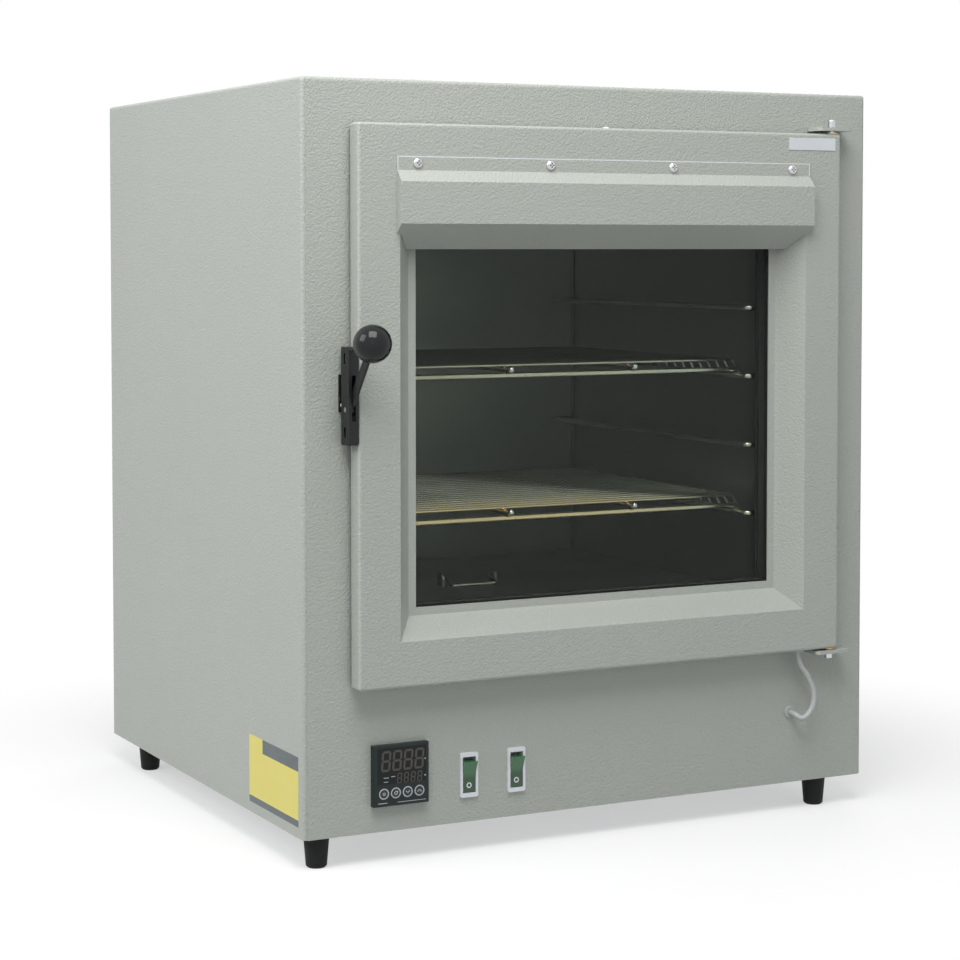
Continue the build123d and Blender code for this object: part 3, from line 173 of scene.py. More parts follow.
class OvenSizes(bpy.types.PropertyGroup):
    grain: length("Paint Grain", "Width of one grain of the powder coat", 0.0019)
    cable_diameter: length("Cable Diameter", "Outside diameter of the lamp cable", 0.005)
    badge_left: length("Badge Left", "Left end of the badge plate", 0.174)
    badge_right: length("Badge Right", "Right end of the badge plate", 0.222)
    badge_height: length("Badge Height", "Height of the badge plate", 0.0105)
    label_length: length("Label Length", "Length of the side label", 0.105)
    label_height: length("Label Height", "Height of the side label", 0.056)
    label_head: length("Label Head", "Height of the label's upper band", 0.0115)
    label_foot: length("Label Foot", "Height of the label's lower band", 0.0055)
    screw_head: length("Screw Head", "Diameter of the visor's screw heads", 0.0086)
    runner_ball: length("Runner Ball", "Diameter of the balls on the runners", 0.0058)
    weld_bead: length("Weld Bead", "Diameter of the weld beads", 0.0022)
    digit_height: length("Digit Height", "Height of the upper digits", 0.0165)
    digit_width: length("Digit Width", "Width of the upper digits", 0.0080)
    digit_pitch: length("Digit Pitch", "Pitch of the upper digits", 0.00975)
    small_height: length("Small Digit Height", "Height of the lower digits", 0.0085)
    small_width: length("Small Digit Width", "Width of the lower digits", 0.0042)
    small_pitch: length("Small Digit Pitch", "Pitch of the lower digits", 0.00595)
    ring_diameter: length("Key Ring", "Outside diameter of the ring round a key", 0.0087)
    ring_sides: IntProperty(name="Ring Sides", description="Sides of the round marks", default=40)


def finishes():
    return bpy.context.scene.oven_finishes


def sizes():
    return bpy.context.scene.oven_sizes


# Shader node groups

def add_node(tree, kind, inputs=None, **settings):
    """Adds a node, each of its inputs linked to another's output or set to a value."""
    made = tree.nodes.new(kind)
    for name, value in settings.items():
        setattr(made, name, value)
    for name, value in (inputs or {}).items():
        if isinstance(value, bpy.types.NodeSocket):
            tree.links.new(value, made.inputs[name])
        else:
            made.inputs[name].default_value = value
    return made


def object_place(tree):
    return add_node(tree, "ShaderNodeTexCoord").outputs["Object"]


def noise(tree, place, scale, detail):
    made = add_node(tree, "ShaderNodeTexNoise",
                    {"Vector": place, "Scale": scale, "Detail": detail})
    return made.outputs["Fac"]


def combine(tree, operation, *values):
    """The result of a Math node."""
    made = add_node(tree, "ShaderNodeMath", dict(enumerate(values)), operation=operation)
    return made.outputs[0]


def map_span(tree, source, given, wanted=(0.0, 1.0), **settings):
    """A value moved from one span to another, and held at both ends."""
    made = add_node(tree, "ShaderNodeMapRange",
                    {"Value": source, "From Min": given[0], "From Max": given[1],
                     "To Min": wanted[0], "To Max": wanted[1]}, **settings)
    return made.outputs["Result"]


def mix_colours(tree, share, first, second):
    made = add_node(tree, "ShaderNodeMix", {"Factor": share, "A": first, "B": second},
                    data_type="RGBA")
    return made.outputs["Result"]


def mix_shaders(tree, share, first, second, output):
    """Mixes two shaders by a share and links the result to the output's surface."""
    mix = add_node(tree, "ShaderNodeMixShader",
                   {"Fac": share, 1: first.outputs[0], 2: second.outputs[0]})
    tree.links.new(mix.outputs[0], tree.nodes[output].inputs["Surface"])


def add_group(name, inputs, outputs):
    group = bpy.data.node_groups.new(name, "ShaderNodeTree")
    for socket_name, kind, value in inputs:
        socket = group.interface.new_socket(socket_name, in_out="INPUT", socket_type=kind)
        socket.default_value = value
    for socket_name, kind in outputs:
        group.interface.new_socket(socket_name, in_out="OUTPUT", socket_type=kind)
    return group, group.nodes.new("NodeGroupInput").outputs


def give(group, **sockets):
    """Links sockets to the outputs of their group, by name."""
    result = group.nodes.new("NodeGroupOutput")
    for name, socket in sockets.items():
        group.links.new(socket, result.inputs[name])
    return group


def powder_grain_group():
    """Pebbled grain of a textured powder coat, and a faint mottle of its colour."""
    group, given = add_group(
        "Powder Grain",
        [("Scale", "NodeSocketFloat", 450.0), ("Depth", "NodeSocketFloat", 1.0),
         ("Color", "NodeSocketColor", (0.5, 0.5, 0.5, 1.0)), ("Mottle", "NodeSocketFloat", 0.05)],
        [("Color", "NodeSocketColor"), ("Height", "NodeSocketFloat"),
         ("Roughness", "NodeSocketFloat")])
    place = object_place(group)
    cells = add_node(group, "ShaderNodeTexVoronoi",
                     {"Vector": place, "Scale": given["Scale"], "Smoothness": 0.55},
                     feature="SMOOTH_F1")
    fine = noise(group, place, combine(group, "MULTIPLY", given["Scale"], 1.7), 3.0)
    pebble = combine(group, "SUBTRACT", fine, cells.outputs["Distance"])
    broad = combine(group, "SUBTRACT", noise(group, place, 9.0, 4.0), 0.5)
    amount = combine(group, "MULTIPLY_ADD", broad, given["Mottle"], 1.0)
    shade = add_node(group, "ShaderNodeVectorMath", {0: given["Color"], "Scale": amount},
                     operation="SCALE")
    return give(group, Color=shade.outputs[0],
                Height=combine(group, "MULTIPLY", pebble, given["Depth"]),
                Roughness=map_span(group, fine, (0.0, 1.0), (0.34, 0.52)))


def rolled_metal_group():
    """Fine lines of rolled or drawn metal along one axis, with faint cloudy smears."""
    group, given = add_group(
        "Rolled Metal",
        [("Stretch", "NodeSocketVector", (1.0, 1.0, 1.0)), ("Low", "NodeSocketFloat", 0.2),
         ("High", "NodeSocketFloat", 0.35), ("Color", "NodeSocketColor", (0.5, 0.5, 0.5, 1.0)),
         ("Tint", "NodeSocketColor", (0.5, 0.5, 0.5, 1.0)), ("Tinted", "NodeSocketFloat", 0.0)],
        [("Color", "NodeSocketColor"), ("Height", "NodeSocketFloat"),
         ("Roughness", "NodeSocketFloat")])
    place = object_place(group)
    stretched = add_node(group, "ShaderNodeVectorMath", {0: place, 1: given["Stretch"]},
                         operation="MULTIPLY")
    lines = noise(group, stretched.outputs[0], 60.0, 5.0)
    cloud = noise(group, place, 14.0, 4.0)
    patch = map_span(group, cloud, (0.42, 0.62))
    share = combine(group, "MULTIPLY", patch, given["Tinted"])
    return give(group, Color=mix_colours(group, share, given["Color"], given["Tint"]),
                Height=lines,
                Roughness=map_span(group, combine(group, "ADD", lines, cloud), (0.6, 1.4),
                                   (given["Low"], given["High"])))


def moulding_group():
    """Slight sink and spark texture of a moulded or rubber surface."""
    group, given = add_group(
        "Moulded Surface",
        [("Scale", "NodeSocketFloat", 900.0), ("Low", "NodeSocketFloat", 0.3),
         ("High", "NodeSocketFloat", 0.45)],
        [("Height", "NodeSocketFloat"), ("Roughness", "NodeSocketFloat")])
    place = object_place(group)
    smear = noise(group, place, 45.0, 4.0)
    return give(group, Height=noise(group, place, given["Scale"], 2.0),
                Roughness=map_span(group, smear, (0.3, 0.7), (given["Low"], given["High"])))


GROUPS = {}


def shared_group(name):
    makers = {"grain": powder_grain_group, "metal": rolled_metal_group, "mould": moulding_group}
    if name not in GROUPS:
        GROUPS[name] = makers[name]()
    return GROUPS[name]


# Materials

def base_material(name):
    material = bpy.data.materials.new(name)
    material.use_nodes = True
    tree = material.node_tree
    return material, tree, tree.nodes["Principled BSDF"]


def place_texture(tree, shader, name, strength, distance, **inputs):
    """Places a shared texture, gives the shader its roughness and bump, and returns it."""
    made = add_node(tree, "ShaderNodeGroup", inputs, node_tree=shared_group(name))
    rise = add_node(tree, "ShaderNodeBump", {"Height": made.outputs["Height"],
                                             "Strength": strength, "Distance": distance})
    tree.links.new(made.outputs["Roughness"], shader.inputs["Roughness"])
    tree.links.new(rise.outputs["Normal"], shader.inputs["Normal"])
    return made


def painted(name, value, scale, depth):
    """Textured powder coat, with a thin gloss over its grain."""
    material, tree, shader = base_material(name)
    grain = place_texture(tree, shader, "grain", depth, 0.0006, Scale=scale, Color=value)
    tree.links.new(grain.outputs["Color"], shader.inputs["Base Color"])
    shader.inputs["Coat Weight"].default_value = 0.12
    shader.inputs["Coat Roughness"].default_value = 0.25
    return material


def metal(name, value, stretch, low, high, strength=0.04):
    """Bare metal, with cloudy patches a little duller than the rest."""
    material, tree, shader = base_material(name)
    dull = (*(part * 0.86 for part in value[:3]), 1.0)
    rolled = place_texture(tree, shader, "metal", strength, 0.0002, Stretch=stretch, Low=low,
                           High=high, Color=value, Tint=dull, Tinted=0.6)
    tree.links.new(rolled.outputs["Color"], shader.inputs["Base Color"])
    shader.inputs["Metallic"].default_value = 1.0
    return material


def tinted_wire(name, value, dull, tint):
    """Polished wire, straw-coloured at the front and left of the lower shelf."""
    material, tree, shader = base_material(name)
    rolled = place_texture(tree, shader, "metal", 0.05, 0.0002, Stretch=(0.3, 3.0, 3.0),
                           Low=0.14, High=0.26, Color=value, Tint=dull, Tinted=0.5)
    axes = add_node(tree, "ShaderNodeSeparateXYZ", {0: object_place(tree)}).outputs
    front = map_span(tree, axes["Y"], (-0.155, -0.060), (0.9, 0.12))
    across = map_span(tree, axes["X"], (0.02, 0.16), (1.0, 0.25))
    tier = map_span(tree, axes["Z"], (0.29, 0.36), (1.0, 0.30))
    share = combine(tree, "MULTIPLY", combine(tree, "MULTIPLY", front, across), tier)
    tree.links.new(mix_colours(tree, share, rolled.outputs["Color"], tint),
                   shader.inputs["Base Color"])
    shader.inputs["Metallic"].default_value = 1.0
    return material


def rocker_plastic(name, upper, lower):
    """Glossy translucent rocker, with painted shade darkening its lower half."""
    material, tree, shader = base_material(name)
    place_texture(tree, shader, "mould", 0.04, 0.0001, Scale=300.0, Low=0.08, High=0.16)
    axes = add_node(tree, "ShaderNodeSeparateXYZ", {0: object_place(tree)}).outputs
    # Painted shade: the rocker turns from the lighter green at the top to the darker green below
    # this band of height
    rise = map_span(tree, axes["Z"], (0.0600, 0.0645))
    tree.links.new(mix_colours(tree, rise, lower, upper), shader.inputs["Base Color"])
    shader.inputs["Coat Weight"].default_value = 0.5
    return material


def moulded(name, value, low, high, scale=900.0, strength=0.15, coat=0.0, gloss=0.5):
    """Plastic, rubber, glaze or print of one colour, with a fine moulded texture."""
    material, tree, shader = base_material(name)
    place_texture(tree, shader, "mould", strength, 0.0001, Scale=scale, Low=low, High=high)
    shader.inputs["Base Color"].default_value = value
    shader.inputs["Coat Weight"].default_value = coat
    shader.inputs["Specular IOR Level"].default_value = gloss
    shader.inputs["Coat Roughness"].default_value = 0.08
    return material


def pane_glass(name):
    """Clear glass that lets light rays through, so that the chamber is lit."""
    material, tree, shader = base_material(name)
    shader.inputs["Roughness"].default_value = 0.0
    shader.inputs["Base Color"].default_value = (0.86, 0.90, 0.87, 1.0)
    shader.inputs["Transmission Weight"].default_value = 1.0
    shader.inputs["IOR"].default_value = PANE_INDEX
    clear = add_node(tree, "ShaderNodeBsdfTransparent", {"Color": (0.93, 0.96, 0.94, 1.0)})
    rays = add_node(tree, "ShaderNodeLightPath").outputs
    light = combine(tree, "MAXIMUM", rays["Is Shadow Ray"], rays["Is Diffuse Ray"])
    mix_shaders(tree, light, shader, clear, "Material Output")
    return material


def background_rays(tree):
    """One for the rays that see the background, by themselves or in metal or glass."""
    rays = add_node(tree, "ShaderNodeLightPath").outputs
    mirror = combine(tree, "MAXIMUM", rays["Is Glossy Ray"], rays["Is Transmission Ray"])
    return combine(tree, "MAXIMUM", rays["Is Camera Ray"], mirror)


MATERIALS = {}


def make_materials():
    """Makes every finish: its name, colour and range of roughness, then its texture."""
    chosen = finishes()
    grain_scale = 1.0 / sizes().grain
    even = (1.0, 1.0, 1.0)
    MATERIALS.update({
        "paint": painted("Grained Powder Coat", chosen.paint, grain_scale, 0.6),
        "stainless": metal("Bright Stainless", chosen.stainless, (2.0, 2.0, 30.0), 0.36, 0.42,
                           strength=0.004),
        "wire": tinted_wire("Shelf Wire", chosen.shelf_wire, chosen.dull_wire, chosen.straw_tint),
        "zinc": metal("Zinc Plate", chosen.zinc, even, 0.18, 0.34),
        "black_paint": moulded("Black Latch Paint", chosen.black_paint, 0.28, 0.42, 500.0, 0.3,
                               gloss=0.3),
        "black_mould": moulded("Black Moulding", chosen.black_mould, 0.30, 0.45, gloss=0.3),
        "knob": moulded("Knob Phenolic", chosen.knob, 0.10, 0.20, 120.0, 0.03,
                        coat=0.15, gloss=0.2),
        "white": moulded("White Switch Frame", chosen.switch_frame, 0.25, 0.35),
        "rocker": rocker_plastic("Green Rocker", chosen.rocker, chosen.rocker_painted_shade),
        "weld": moulded("Ground Weld", chosen.weld, 0.35, 0.5),
        "window": moulded("Smoked Window", (0.004, 0.009, 0.009, 1.0), 0.10, 0.18, 200.0, 0.02,
                          gloss=0.25),
        "key": moulded("Key Film", (0.020, 0.024, 0.026, 1.0), 0.30, 0.42),
        "rubber": moulded("Foot Rubber", (0.012, 0.013, 0.013, 1.0), 0.5, 0.7, 700.0, 0.3,
                          gloss=0.2),
        "seal": moulded("Pane Seal", (0.02, 0.021, 0.02, 1.0), 0.5, 0.65),
        "silicone": moulded("Door Silicone", (0.50, 0.50, 0.47, 1.0), 0.45, 0.6),
        "lamp": moulded("Lamp Tube", (0.70, 0.71, 0.69, 1.0), 0.2, 0.3),
        "wool": moulded("Mineral Wool", (0.45, 0.38, 0.20, 1.0), 0.85, 0.95, 250.0, 1.0),
        "brass": metal("Bush Brass", (0.55, 0.38, 0.14, 1.0), even, 0.2, 0.35),
        "ceramic": moulded("Terminal Ceramic", (0.70, 0.67, 0.60, 1.0), 0.35, 0.5),
        "cable": moulded("Cable Sheath", chosen.cable, 0.38, 0.5, 400.0, 0.08),
        "display": moulded("Unlit Digit", chosen.display, 0.4, 0.5),
        "print": moulded("Printed Mark", chosen.print_white, 0.4, 0.5),
        "label": moulded("Label Film", chosen.label, 0.28, 0.4, 60.0, 0.05),
        "band": moulded("Label Band", chosen.label_band, 0.28, 0.4, 60.0, 0.05),
        "badge": metal("Badge Plate", chosen.badge, (0.4, 1.0, 6.0), 0.30, 0.38, strength=0.02),
        "chrome": metal("Bright Head", chosen.chrome, even, 0.10, 0.18, strength=0.02),
        "glass": pane_glass("Clear Pane"),
    })


NODE_FINISH = {
    "paint": "outer_casing front_panel rear_panel door_outer_skin lamp_visor "
             "hinge_bracket_upper hinge_bracket_lower",
    "stainless": "inner_chamber floor_plate door_inner_panel temperature_probe vent_tube",
    "wire": "shelf_supports_left shelf_supports_right shelf_upper shelf_lower floor_bail",
    "zinc": "base_pan partition_plate rear_panel_screws hinge_pins visor_screws latch_screws "
            "latch_pin heating_element",
    "black_paint": "latch_bracket latch_lever latch_keeper",
    "black_mould": "controller_bezel controller_case cable_gland heater_relay",
    "knob": "ball_knob",
    "white": "switch_housing_left switch_housing_right",
    "rocker": "rocker_left rocker_right",
    "window": "controller_window",
    "key": "controller_key_1 controller_key_2 controller_key_3 controller_key_4",
    "glass": "outer_glass inner_glass",
    "lamp": "lamp_tube",
    "seal": "glass_seals",
    "cable": "panel_grommet door_grommet",
    "silicone": "door_gasket",
    "rubber": "foot_front_left foot_front_right foot_rear_left foot_rear_right",
    "wool": "chamber_insulation door_insulation",
    "brass": "hinge_bushes",
    "ceramic": "lamp_holders terminal_block",
}


# Mesh helpers

def finish_piece(mesh_data, name, material, body, smooth=False):
    """Turns a bmesh into an object that wears a finish and rides on a body."""
    mesh = bpy.data.meshes.new(name)
    mesh_data.to_mesh(mesh)
    mesh_data.free()
    mesh.materials.append(MATERIALS[material])
    if smooth:
        mesh.shade_smooth()
    made = bpy.data.objects.new(name, mesh)
    bpy.context.scene.collection.objects.link(made)
    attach(made, body)
    return made


def print_span(face):
    """Depths of the front and the back of a mark that is printed on a face."""
    return face - PRINT_PROUD, face + PRINT_SUNK


def front_plate(mesh_data, x_span, z_span, front, back, bevel=0.0):
    """Adds a thin plate that faces the front, its edges bevelled where asked."""
    centre = Vector((sum(x_span) / 2, (front + back) / 2, sum(z_span) / 2))
    size = Vector((x_span[1] - x_span[0], back - front, z_span[1] - z_span[0]))
    made = bmesh.ops.create_cube(mesh_data, size=1.0,
                                 matrix=Matrix.Translation(centre) @ Matrix.Diagonal((*size, 1)))
    if bevel:
        edges = {edge for vert in made["verts"] for edge in vert.link_edges}
        bmesh.ops.bevel(mesh_data, geom=list(edges), offset=bevel, segments=2,
                        affect="EDGES", profile=0.5, material=-1)
    return made["verts"]


def front_disc(mesh_data, x, z, radius, front, back, sides):
    """Adds a short cylinder whose axis runs along the depth, a prism if its sides are few."""
    middle = Matrix.Translation((x, (front + back) / 2, z)) @ Matrix.Rotation(pi / 2, 4, "X")
    made = bmesh.ops.create_cone(mesh_data, cap_ends=True, segments=sides, radius1=radius,
                                 radius2=radius, depth=abs(back - front), matrix=middle)
    return made["verts"]


def front_ring(mesh_data, x, z, outer, inner, front, back, sides):
    """Adds a flat ring that faces the front."""
    circle = bmesh.ops.create_circle(mesh_data, segments=sides, radius=outer,
                                     matrix=Matrix.Translation((x, back, z))
                                     @ Matrix.Rotation(pi / 2, 4, "X"))
    rim = list({edge for vert in circle["verts"] for edge in vert.link_edges})
    hole = bmesh.ops.extrude_edge_only(mesh_data, edges=rim)
    inner_verts = [item for item in hole["geom"] if isinstance(item, bmesh.types.BMVert)]
    bmesh.ops.scale(mesh_data, verts=inner_verts, vec=(inner / outer, 1.0, inner / outer),
                    space=Matrix.Translation((-x, -back, -z)))
    faces = [item for item in hole["geom"] if isinstance(item, bmesh.types.BMFace)]
    raised = bmesh.ops.extrude_face_region(mesh_data, geom=faces)
    moved = [item for item in raised["geom"] if isinstance(item, bmesh.types.BMVert)]
    bmesh.ops.translate(mesh_data, verts=moved, vec=(0.0, front - back, 0.0))
    bmesh.ops.recalc_face_normals(mesh_data, faces=mesh_data.faces[:])


def dome(mesh_data, place, radius, rise, axis):
    """Adds a flattened ball that rises by as much on both sides of its middle, along an axis."""
    made = bmesh.ops.create_uvsphere(mesh_data, u_segments=24, v_segments=12, radius=radius)
    verts = made["verts"]
    bmesh.ops.scale(mesh_data, verts=verts, vec=(1.0, 1.0, rise / radius))
    turn = {"X": "Y", "Y": "X"}.get(axis)
    if turn:
        bmesh.ops.rotate(mesh_data, verts=verts, matrix=Matrix.Rotation(pi / 2, 3, turn))
    bmesh.ops.translate(mesh_data, verts=verts, vec=place)


def digit(mesh_data, left, low, width, height, bar, front, back):
    """Adds one seven-segment digit, all its segments unlit."""
    slant = 0.08
    half = height / 2
    gap = bar * 0.16
    inset = bar * 0.6
    verts = []
    for middle in (bar / 2, half, height - bar / 2):
        z = low + middle
        verts += front_plate(mesh_data, (left + inset, left + width - inset),
                             (z - bar / 2, z + bar / 2), front, back)
    for start, end in ((bar / 2, half), (half + bar / 2, height - bar / 2)):
        for side in (0.0, width - bar):
            verts += front_plate(mesh_data, (left + side, left + side + bar),
                                 (low + start + gap, low + end - gap), front, back)
    for vert in verts:
        vert.co.x += slant * (vert.co.z - low)


# Operators: one for each piece or group of like pieces

class OVEN_OT_node_finishes(bpy.types.Operator):
    """Gives every modelled node its finish"""
    bl_idname = "oven.node_finishes"
    bl_label = "Node Finishes"

    def execute(self, context):
        make_materials()
        for finish, names in NODE_FINISH.items():
            for name in names.split():
                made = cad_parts[name]
                made.data.materials.clear()
                made.data.materials.append(MATERIALS[finish])
        return {"FINISHED"}


class OVEN_OT_lamp_cable(bpy.types.Operator):
    """Makes the lamp cable that loops from the cabinet up into the door"""
    bl_idname = "oven.lamp_cable"
    bl_label = "Lamp Cable"

    def execute(self, context):
        face = PANEL_LOW.y
        route = [
            (0.1905, face + 0.0027, 0.0870), (0.1905, face - 0.0075, 0.0870),
            (0.1955, face - 0.0125, 0.0815), (0.2035, face - 0.0140, 0.0880),
            (0.2075, face - 0.0140, 0.0985), (0.2065, face - 0.0130, 0.1090),
            (0.2010, face - 0.0120, 0.1200), (0.1945, face - 0.0110, 0.1290),
            (0.1915, face - 0.0105, 0.1370), (0.1915, face - 0.0105, 0.1457),
        ]
        curve = bpy.data.curves.new("lamp_cable_path", "CURVE")
        curve.dimensions = "3D"
        curve.resolution_u = 10
        spline = curve.splines.new("NURBS")
        spline.points.add(len(route) - 1)
        for control, place in zip(spline.points, route):
            control.co = (*place, 1.0)
        spline.order_u = 3
        spline.use_endpoint_u = True
        line = bpy.data.objects.new("lamp_cable_path", curve)
        context.scene.collection.objects.link(line)
        context.view_layer.update()
        bare = bpy.data.meshes.new_from_object(line)
        curve.bevel_depth = sizes().cable_diameter / 2
        curve.bevel_resolution = 5
        curve.use_fill_caps = True
        context.view_layer.update()
        depsgraph = context.evaluated_depsgraph_get()
        tube = bpy.data.meshes.new_from_object(line.evaluated_get(depsgraph))
        tube.name = "lamp_cable"
        tube.shade_smooth()
        tube.materials.clear()
        tube.materials.append(MATERIALS["cable"])
        cable = bpy.data.objects.new("lamp_cable", tube)
        context.scene.collection.objects.link(cable)
        bpy.data.objects.remove(line)
        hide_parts("door_cable")
        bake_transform(cable)
        return {"FINISHED"}


class OVEN_OT_badge_plate(bpy.types.Operator):
    """Makes the bare badge plate at the top of the door"""
    bl_idname = "oven.badge_plate"
    bl_label = "Badge Plate"

    def execute(self, context):
        chosen = sizes()
        mesh_data = bmesh.new()
        top = DOOR_HIGH.z - 0.004
        front_plate(mesh_data, (chosen.badge_left, chosen.badge_right),
                    (top - chosen.badge_height, top),
                    DOOR_LOW.y - 0.0005, DOOR_LOW.y + 0.0001, bevel=0.0002)
        finish_piece(mesh_data, "badge_plate", "badge", "door")
        return {"FINISHED"}


class OVEN_OT_side_label(bpy.types.Operator):
    """Makes the blank adhesive label low on the left side"""
    bl_idname = "oven.side_label"
    bl_label = "Side Label"

    def execute(self, context):
        chosen = sizes()
        front = PANEL_LOW.y + LABEL_SETBACK
        foot, height = chosen.label_foot, chosen.label_height
        band = height - chosen.label_head
        parts = (("side_label", "label", 0.0, 1.0, foot, band),
                 ("side_label_corner", "label", LABEL_BAND_END, 1.0, band, height),
                 ("side_label_band", "band", 0.0, LABEL_BAND_END, band, height),
                 ("side_label_foot", "band", 0.0, 1.0, 0.0, foot))
        for name, finish, near, far, start, end in parts:
            mesh_data = bmesh.new()
            size = Vector((LABEL_PROUD * 2, chosen.label_length * (far - near), end - start))
            centre = Vector((CASING_LOW.x, front + chosen.label_length * (near + far) / 2,
                             LABEL_LOW + (start + end) / 2))
            bmesh.ops.create_cube(mesh_data, size=1.0, matrix=Matrix.Translation(centre)
                                  @ Matrix.Diagonal((*size, 1)))
            finish_piece(mesh_data, name, finish, "cabinet")
        return {"FINISHED"}


class OVEN_OT_controller_display(bpy.types.Operator):
    """Makes the unlit digits and the small marks on the controller's window"""
    bl_idname = "oven.controller_display"
    bl_label = "Controller Display"

    def execute(self, context):
        chosen = sizes()
        front, back = print_span(WINDOW_LOW.y)
        left, top = BEZEL_LOW.x, BEZEL_HIGH.z
        # Start and top of each row in the bezel, its pitch, then a digit's size and bar
        rows = ((0.0060, 0.0044, chosen.digit_pitch,
                 chosen.digit_width, chosen.digit_height, 0.0017),
                (0.0200, 0.0228, chosen.small_pitch,
                 chosen.small_width, chosen.small_height, 0.0009))
        mesh_data = bmesh.new()
        for place in range(4):
            for start, drop, pitch, width, height, bar in rows:
                digit(mesh_data, left + start + place * pitch, top - drop - height,
                      width, height, bar, front, back)
        finish_piece(mesh_data, "display_digits", "display", "cabinet")
        mesh_data = bmesh.new()
        for x, z, wide in ((0.0085, 0.0257, 0.0045), (0.0150, 0.0250, 0.0035),
                           (0.0085, 0.0290, 0.0040)):
            front_plate(mesh_data, (left + x, left + x + wide), (top - z - 0.0005, top - z),
                        front, back)
        arrow_x = left + 0.0450
        for z in (top - 0.0133, top - 0.0267):
            arrow = front_disc(mesh_data, arrow_x, z, 0.0009, front, back, 3)
            bmesh.ops.rotate(mesh_data, verts=arrow, cent=(arrow_x, 0.0, z),
                             matrix=Matrix.Rotation(radians(30), 3, "Y"))
        finish_piece(mesh_data, "display_marks", "print", "cabinet")
        return {"FINISHED"}


class OVEN_OT_key_rings(bpy.types.Operator):
    """Makes the printed rings round the keys and the marks on them"""
    bl_idname = "oven.key_rings"
    bl_label = "Key Rings"

    def execute(self, context):
        chosen = sizes()
        ring_front, ring_back = print_span(BEZEL_LOW.y)
        mesh_data = bmesh.new()
        keys = []
        for number in range(1, 5):
            low, high = node_box(f"controller_key_{number}")
            centre = (low + high) / 2
            keys.append((low.y, centre))
            front_ring(mesh_data, centre.x, centre.z, chosen.ring_diameter / 2, 0.00345,
                       ring_front, ring_back, chosen.ring_sides)
        finish_piece(mesh_data, "key_rings", "print", "cabinet")
        # A small ring, a ring with a tail, an arrow down and an arrow up
        for number, (face, centre) in enumerate(keys, 1):
            mesh_data = bmesh.new()
            front, back = print_span(face)
            if number == 1:
                front_ring(mesh_data, centre.x, centre.z, 0.0012, 0.0007, front, back, 20)
            elif number == 2:
                front_ring(mesh_data, centre.x, centre.z, 0.0015, 0.0009, front, back, 20)
                front_plate(mesh_data, (centre.x - 0.0004, centre.x + 0.0018),
                            (centre.z + 0.0009, centre.z + 0.0016), front, back)
            else:
                turn = 1 if number == 3 else -1
                for side in (-1, 1):
                    verts = front_plate(mesh_data, (centre.x - 0.0013, centre.x + 0.0013),
                                        (centre.z - 0.0003, centre.z + 0.0003), front, back)
                    bmesh.ops.rotate(mesh_data, verts=verts, cent=centre,
                                     matrix=Matrix.Rotation(radians(-42 * side * turn), 3, "Y"))
                    bmesh.ops.translate(mesh_data, verts=verts, vec=(0.00085 * side, 0, 0))
            finish_piece(mesh_data, f"key_mark_{number}", "print", f"key_{number}")
        mesh_data = bmesh.new()
        left, low = BEZEL_LOW.x, BEZEL_LOW.z + 0.0026
        for start, end, thick in ((0.0035, 0.0115, 0.0006), (0.0205, 0.0455, 0.0004)):
            front_plate(mesh_data, (left + start, left + end), (low, low + thick),
                        ring_front, ring_back)
        finish_piece(mesh_data, "bezel_lines", "print", "cabinet")
        return {"FINISHED"}


class OVEN_OT_rocker_marks(bpy.types.Operator):
    """Makes the off mark on the lower half of each rocker"""
    bl_idname = "oven.rocker_marks"
    bl_label = "Rocker Marks"

    def execute(self, context):
        for side in ("left", "right"):
            low, high = node_box(f"rocker_{side}")
            centre_x = (low.x + high.x) / 2
            pivot = Vector((centre_x, PANEL_LOW.y + ROCKER_PIVOT_DEPTH, ROCKER_PIVOT_HEIGHT))
            height = pivot.z - OFF_MARK_DROP
            mesh_data = bmesh.new()
            front_ring(mesh_data, centre_x, height, 0.0023, 0.0014,
                       pivot.y - 0.00631, pivot.y - 0.0060, 28)
            for turn, centre in ((ROCKER_BEND, (centre_x, pivot.y - 0.00623, height)),
                                 (ROCKER_TILT, pivot)):
                bmesh.ops.rotate(mesh_data, verts=mesh_data.verts[:], cent=centre,
                                 matrix=Matrix.Rotation(turn, 3, "X"))
            finish_piece(mesh_data, f"off_mark_{side}", "white", f"rocker_{side}")
        return {"FINISHED"}


class OVEN_OT_keeper_screw(bpy.types.Operator):
    """Makes the screw of the latch's keeper"""
    bl_idname = "oven.keeper_screw"
    bl_label = "Keeper Screw"

    def execute(self, context):
        low, high = node_box("latch_keeper")
        mesh_data = bmesh.new()
        front_disc(mesh_data, low.x + 0.003, low.z + 0.0055, 0.0022,
                   high.y - 0.0027, high.y - 0.0014, 24)
        finish_piece(mesh_data, "keeper_screw", "zinc", "cabinet", smooth=True)
        return {"FINISHED"}


class OVEN_OT_visor_screws(bpy.types.Operator):
    """Makes the domed heads of the visor's screws, with dark crosses of painted shade for their
    recesses
    """
    bl_idname = "oven.visor_screws"
    bl_label = "Visor Screws"

    def execute(self, context):
        low, high = node_box("visor_screws")
        middle = (low.z + high.z) / 2
        heads, slots = bmesh.new(), bmesh.new()
        for x in VISOR_SCREW_X:
            dome(heads, (x, FLANGE_FACE, middle), sizes().screw_head / 2, 0.0024, "Y")
            # Painted shade: a near-black cross in each head stands for the shade in its recess
            for wide, tall in ((0.0042, 0.0008), (0.0008, 0.0042)):
                front_plate(slots, (x - wide / 2, x + wide / 2),
                            (middle - tall / 2, middle + tall / 2),
                            FLANGE_FACE - 0.00235, FLANGE_FACE - 0.0016)
        screws = finish_piece(heads, "visor_screw_heads", "chrome", "door",
                              smooth=True)
        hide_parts("visor_screws")
        finish_piece(slots, "visor_screw_recess_shade", "seal", "door")
        return {"FINISHED"}


